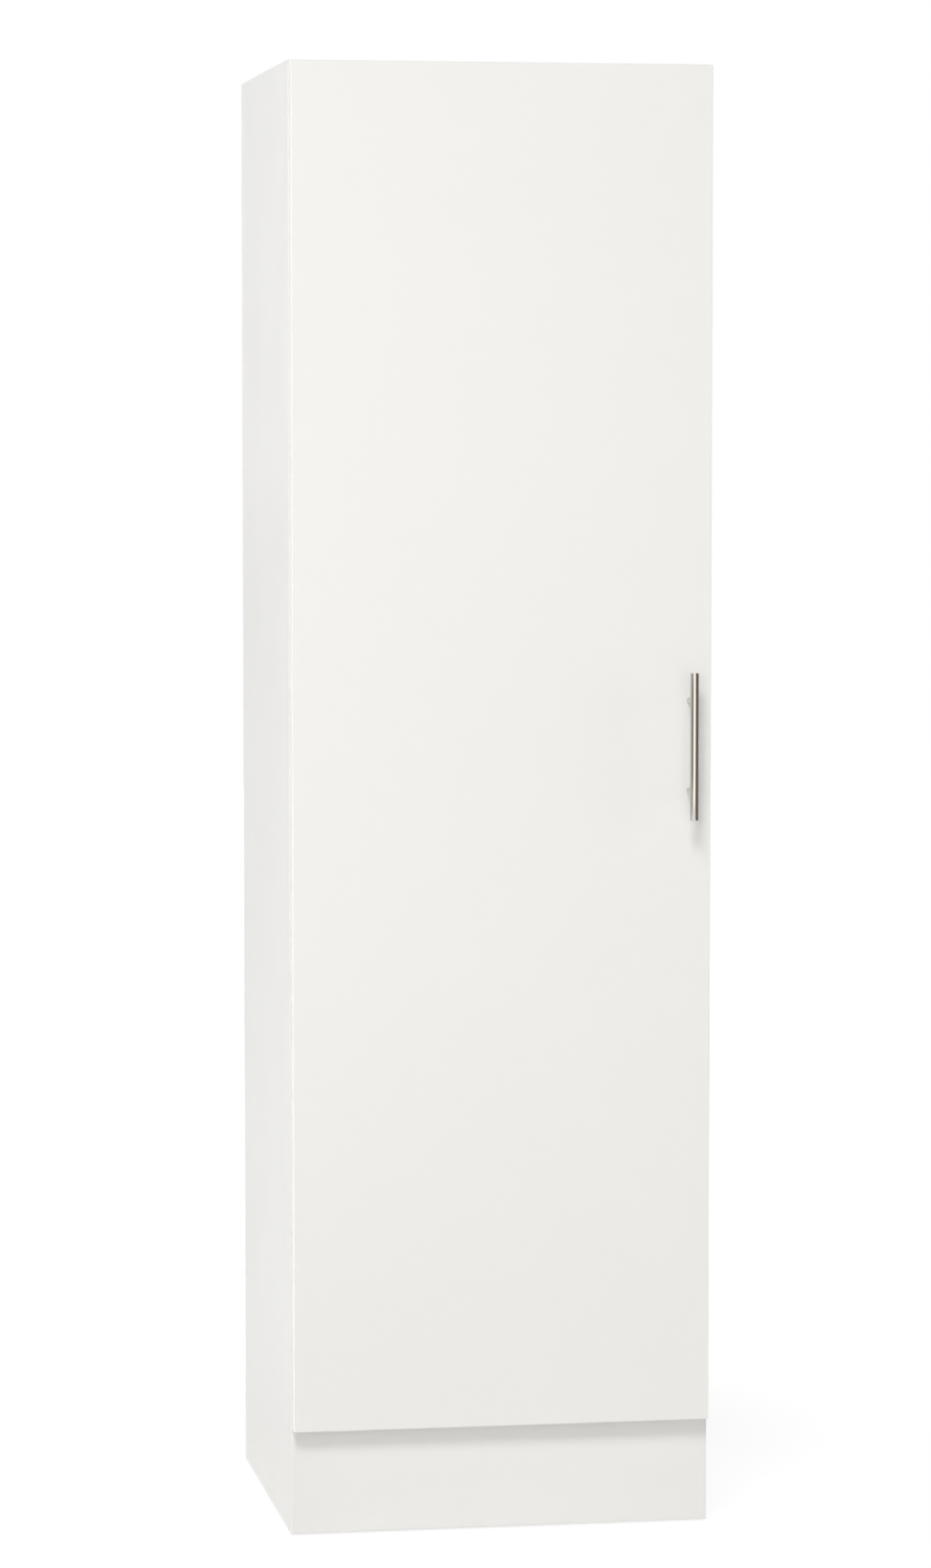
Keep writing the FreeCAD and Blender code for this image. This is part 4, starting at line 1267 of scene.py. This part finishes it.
@dataclass
class Studio:
    """Floor, white surroundings, lamps and camera."""

    floor_half: float = 14.0
    floor_colour: Colour = (0.82, 0.82, 0.815)
    shadow_colour: Colour = (0.18, 0.18, 0.18)
    near_white: float = 0.86
    fade_from: float = 0.5
    fade_to: float = 1.7
    ambient: float = 0.25

    def build(self) -> None:
        """Builds the whole studio."""
        self.world()
        self.floor()
        lamps = [
            SoftBox("high_box", (-3.54, -8.95, 12.71), 5.5, 4.4, 1185.0),
            SoftBox("key_box", (-1.5, -3.7, 2.15), 1.1, 1.4, 20.0, in_gloss=False),
            SoftBox("front_box", (-0.67, -6.54, 1.61), 2.4, 1.6, 8.0, in_gloss=False),
            SoftBox("left_box", (-4.5, -0.6, 0.85), 2.5, 2.6, 66.0, in_gloss=False),
            SoftBox("right_box", (4.2, -0.7, 1.5), 1.8, 2.4, 46.0, in_gloss=False),
            SoftBox("rear_box", (0.6, 4.2, 2.4), 2.6, 2.2, 50.0),
        ]
        cards = [
            GlossCard("front_card", (-1.45, -2.63), (1.13, -2.64), (1.72, 1.66, 1.58)),
            GlossCard("dim_card", (-4.0, -2.62), (-1.45, -2.63), (0.34, 0.32, 0.29)),
            GlossCard("left_card", (-1.93, -1.47), (-2.23, -0.29), (0.34, 0.32, 0.29)),
            GlossCard("right_card", (1.14, -2.63), (2.07, 1.45), (0.2, 0.178, 0.155)),
        ]
        for piece in (*lamps, *cards):
            piece.build()
        StudioCamera().build()
        log.info("studio: %d lamps and %d cards", len(lamps), len(cards))

    def world(self) -> None:
        """Lights softly all round, and shows white to the eye and in gloss."""
        world = bpy.data.worlds.new("studio_world")
        bpy.context.scene.world = world
        graph = cleared(world)
        soft = graph.add("ShaderNodeBackground", {"Strength": self.ambient})
        white = graph.add("ShaderNodeBackground", {"Color": (1.0, 1.0, 1.0)})
        graph.show("ShaderNodeOutputWorld", soft, white)

    def floor(self) -> None:
        """Lays a pale floor that keeps a soft shadow and fades into the white."""
        material = bpy.data.materials.new("pale_floor")
        graph = cleared(material)
        matt = graph.add("ShaderNodeBsdfDiffuse", {"Color": self.floor_colour})
        shade = graph.add("ShaderNodeBsdfDiffuse", {"Color": self.shadow_colour})
        place = graph.add("ShaderNodeTexCoord", {}, "Object")
        away = graph.add("ShaderNodeVectorMath", {0: place}, "Value", operation="LENGTH")
        ranges = (self.fade_from, self.fade_to, self.near_white, 1.0)
        fade = graph.add("ShaderNodeMapRange", dict(enumerate((away, *ranges))),
                         interpolation_type="SMOOTHSTEP")
        white = graph.add("ShaderNodeEmission", {"Strength": fade})
        seen = graph.add("ShaderNodeAddShader", {0: shade, 1: white})
        graph.show("ShaderNodeOutputMaterial", matt, seen)
        half = self.floor_half
        corners = [(-half, -half, 0), (half, -half, 0), (half, half, 0), (-half, half, 0)]
        sheet("floor", corners, material)


def main() -> None:
    """Builds the looks, sub-assembly by sub-assembly."""
    logging.basicConfig(level=logging.INFO, format="%(name)s: %(message)s")
    bpy.context.scene.view_settings.view_transform = "Standard"
    steps: list[Callable[[], None]] = [
        Carcass().build,
        BackWall().build,
        Fittings().build,
        Door().build,
        BarHandle().build,
        ConcealedHinges().build,
        Studio().build,
    ]
    for step in steps:
        step()


if __name__ == "__main__":
    main()
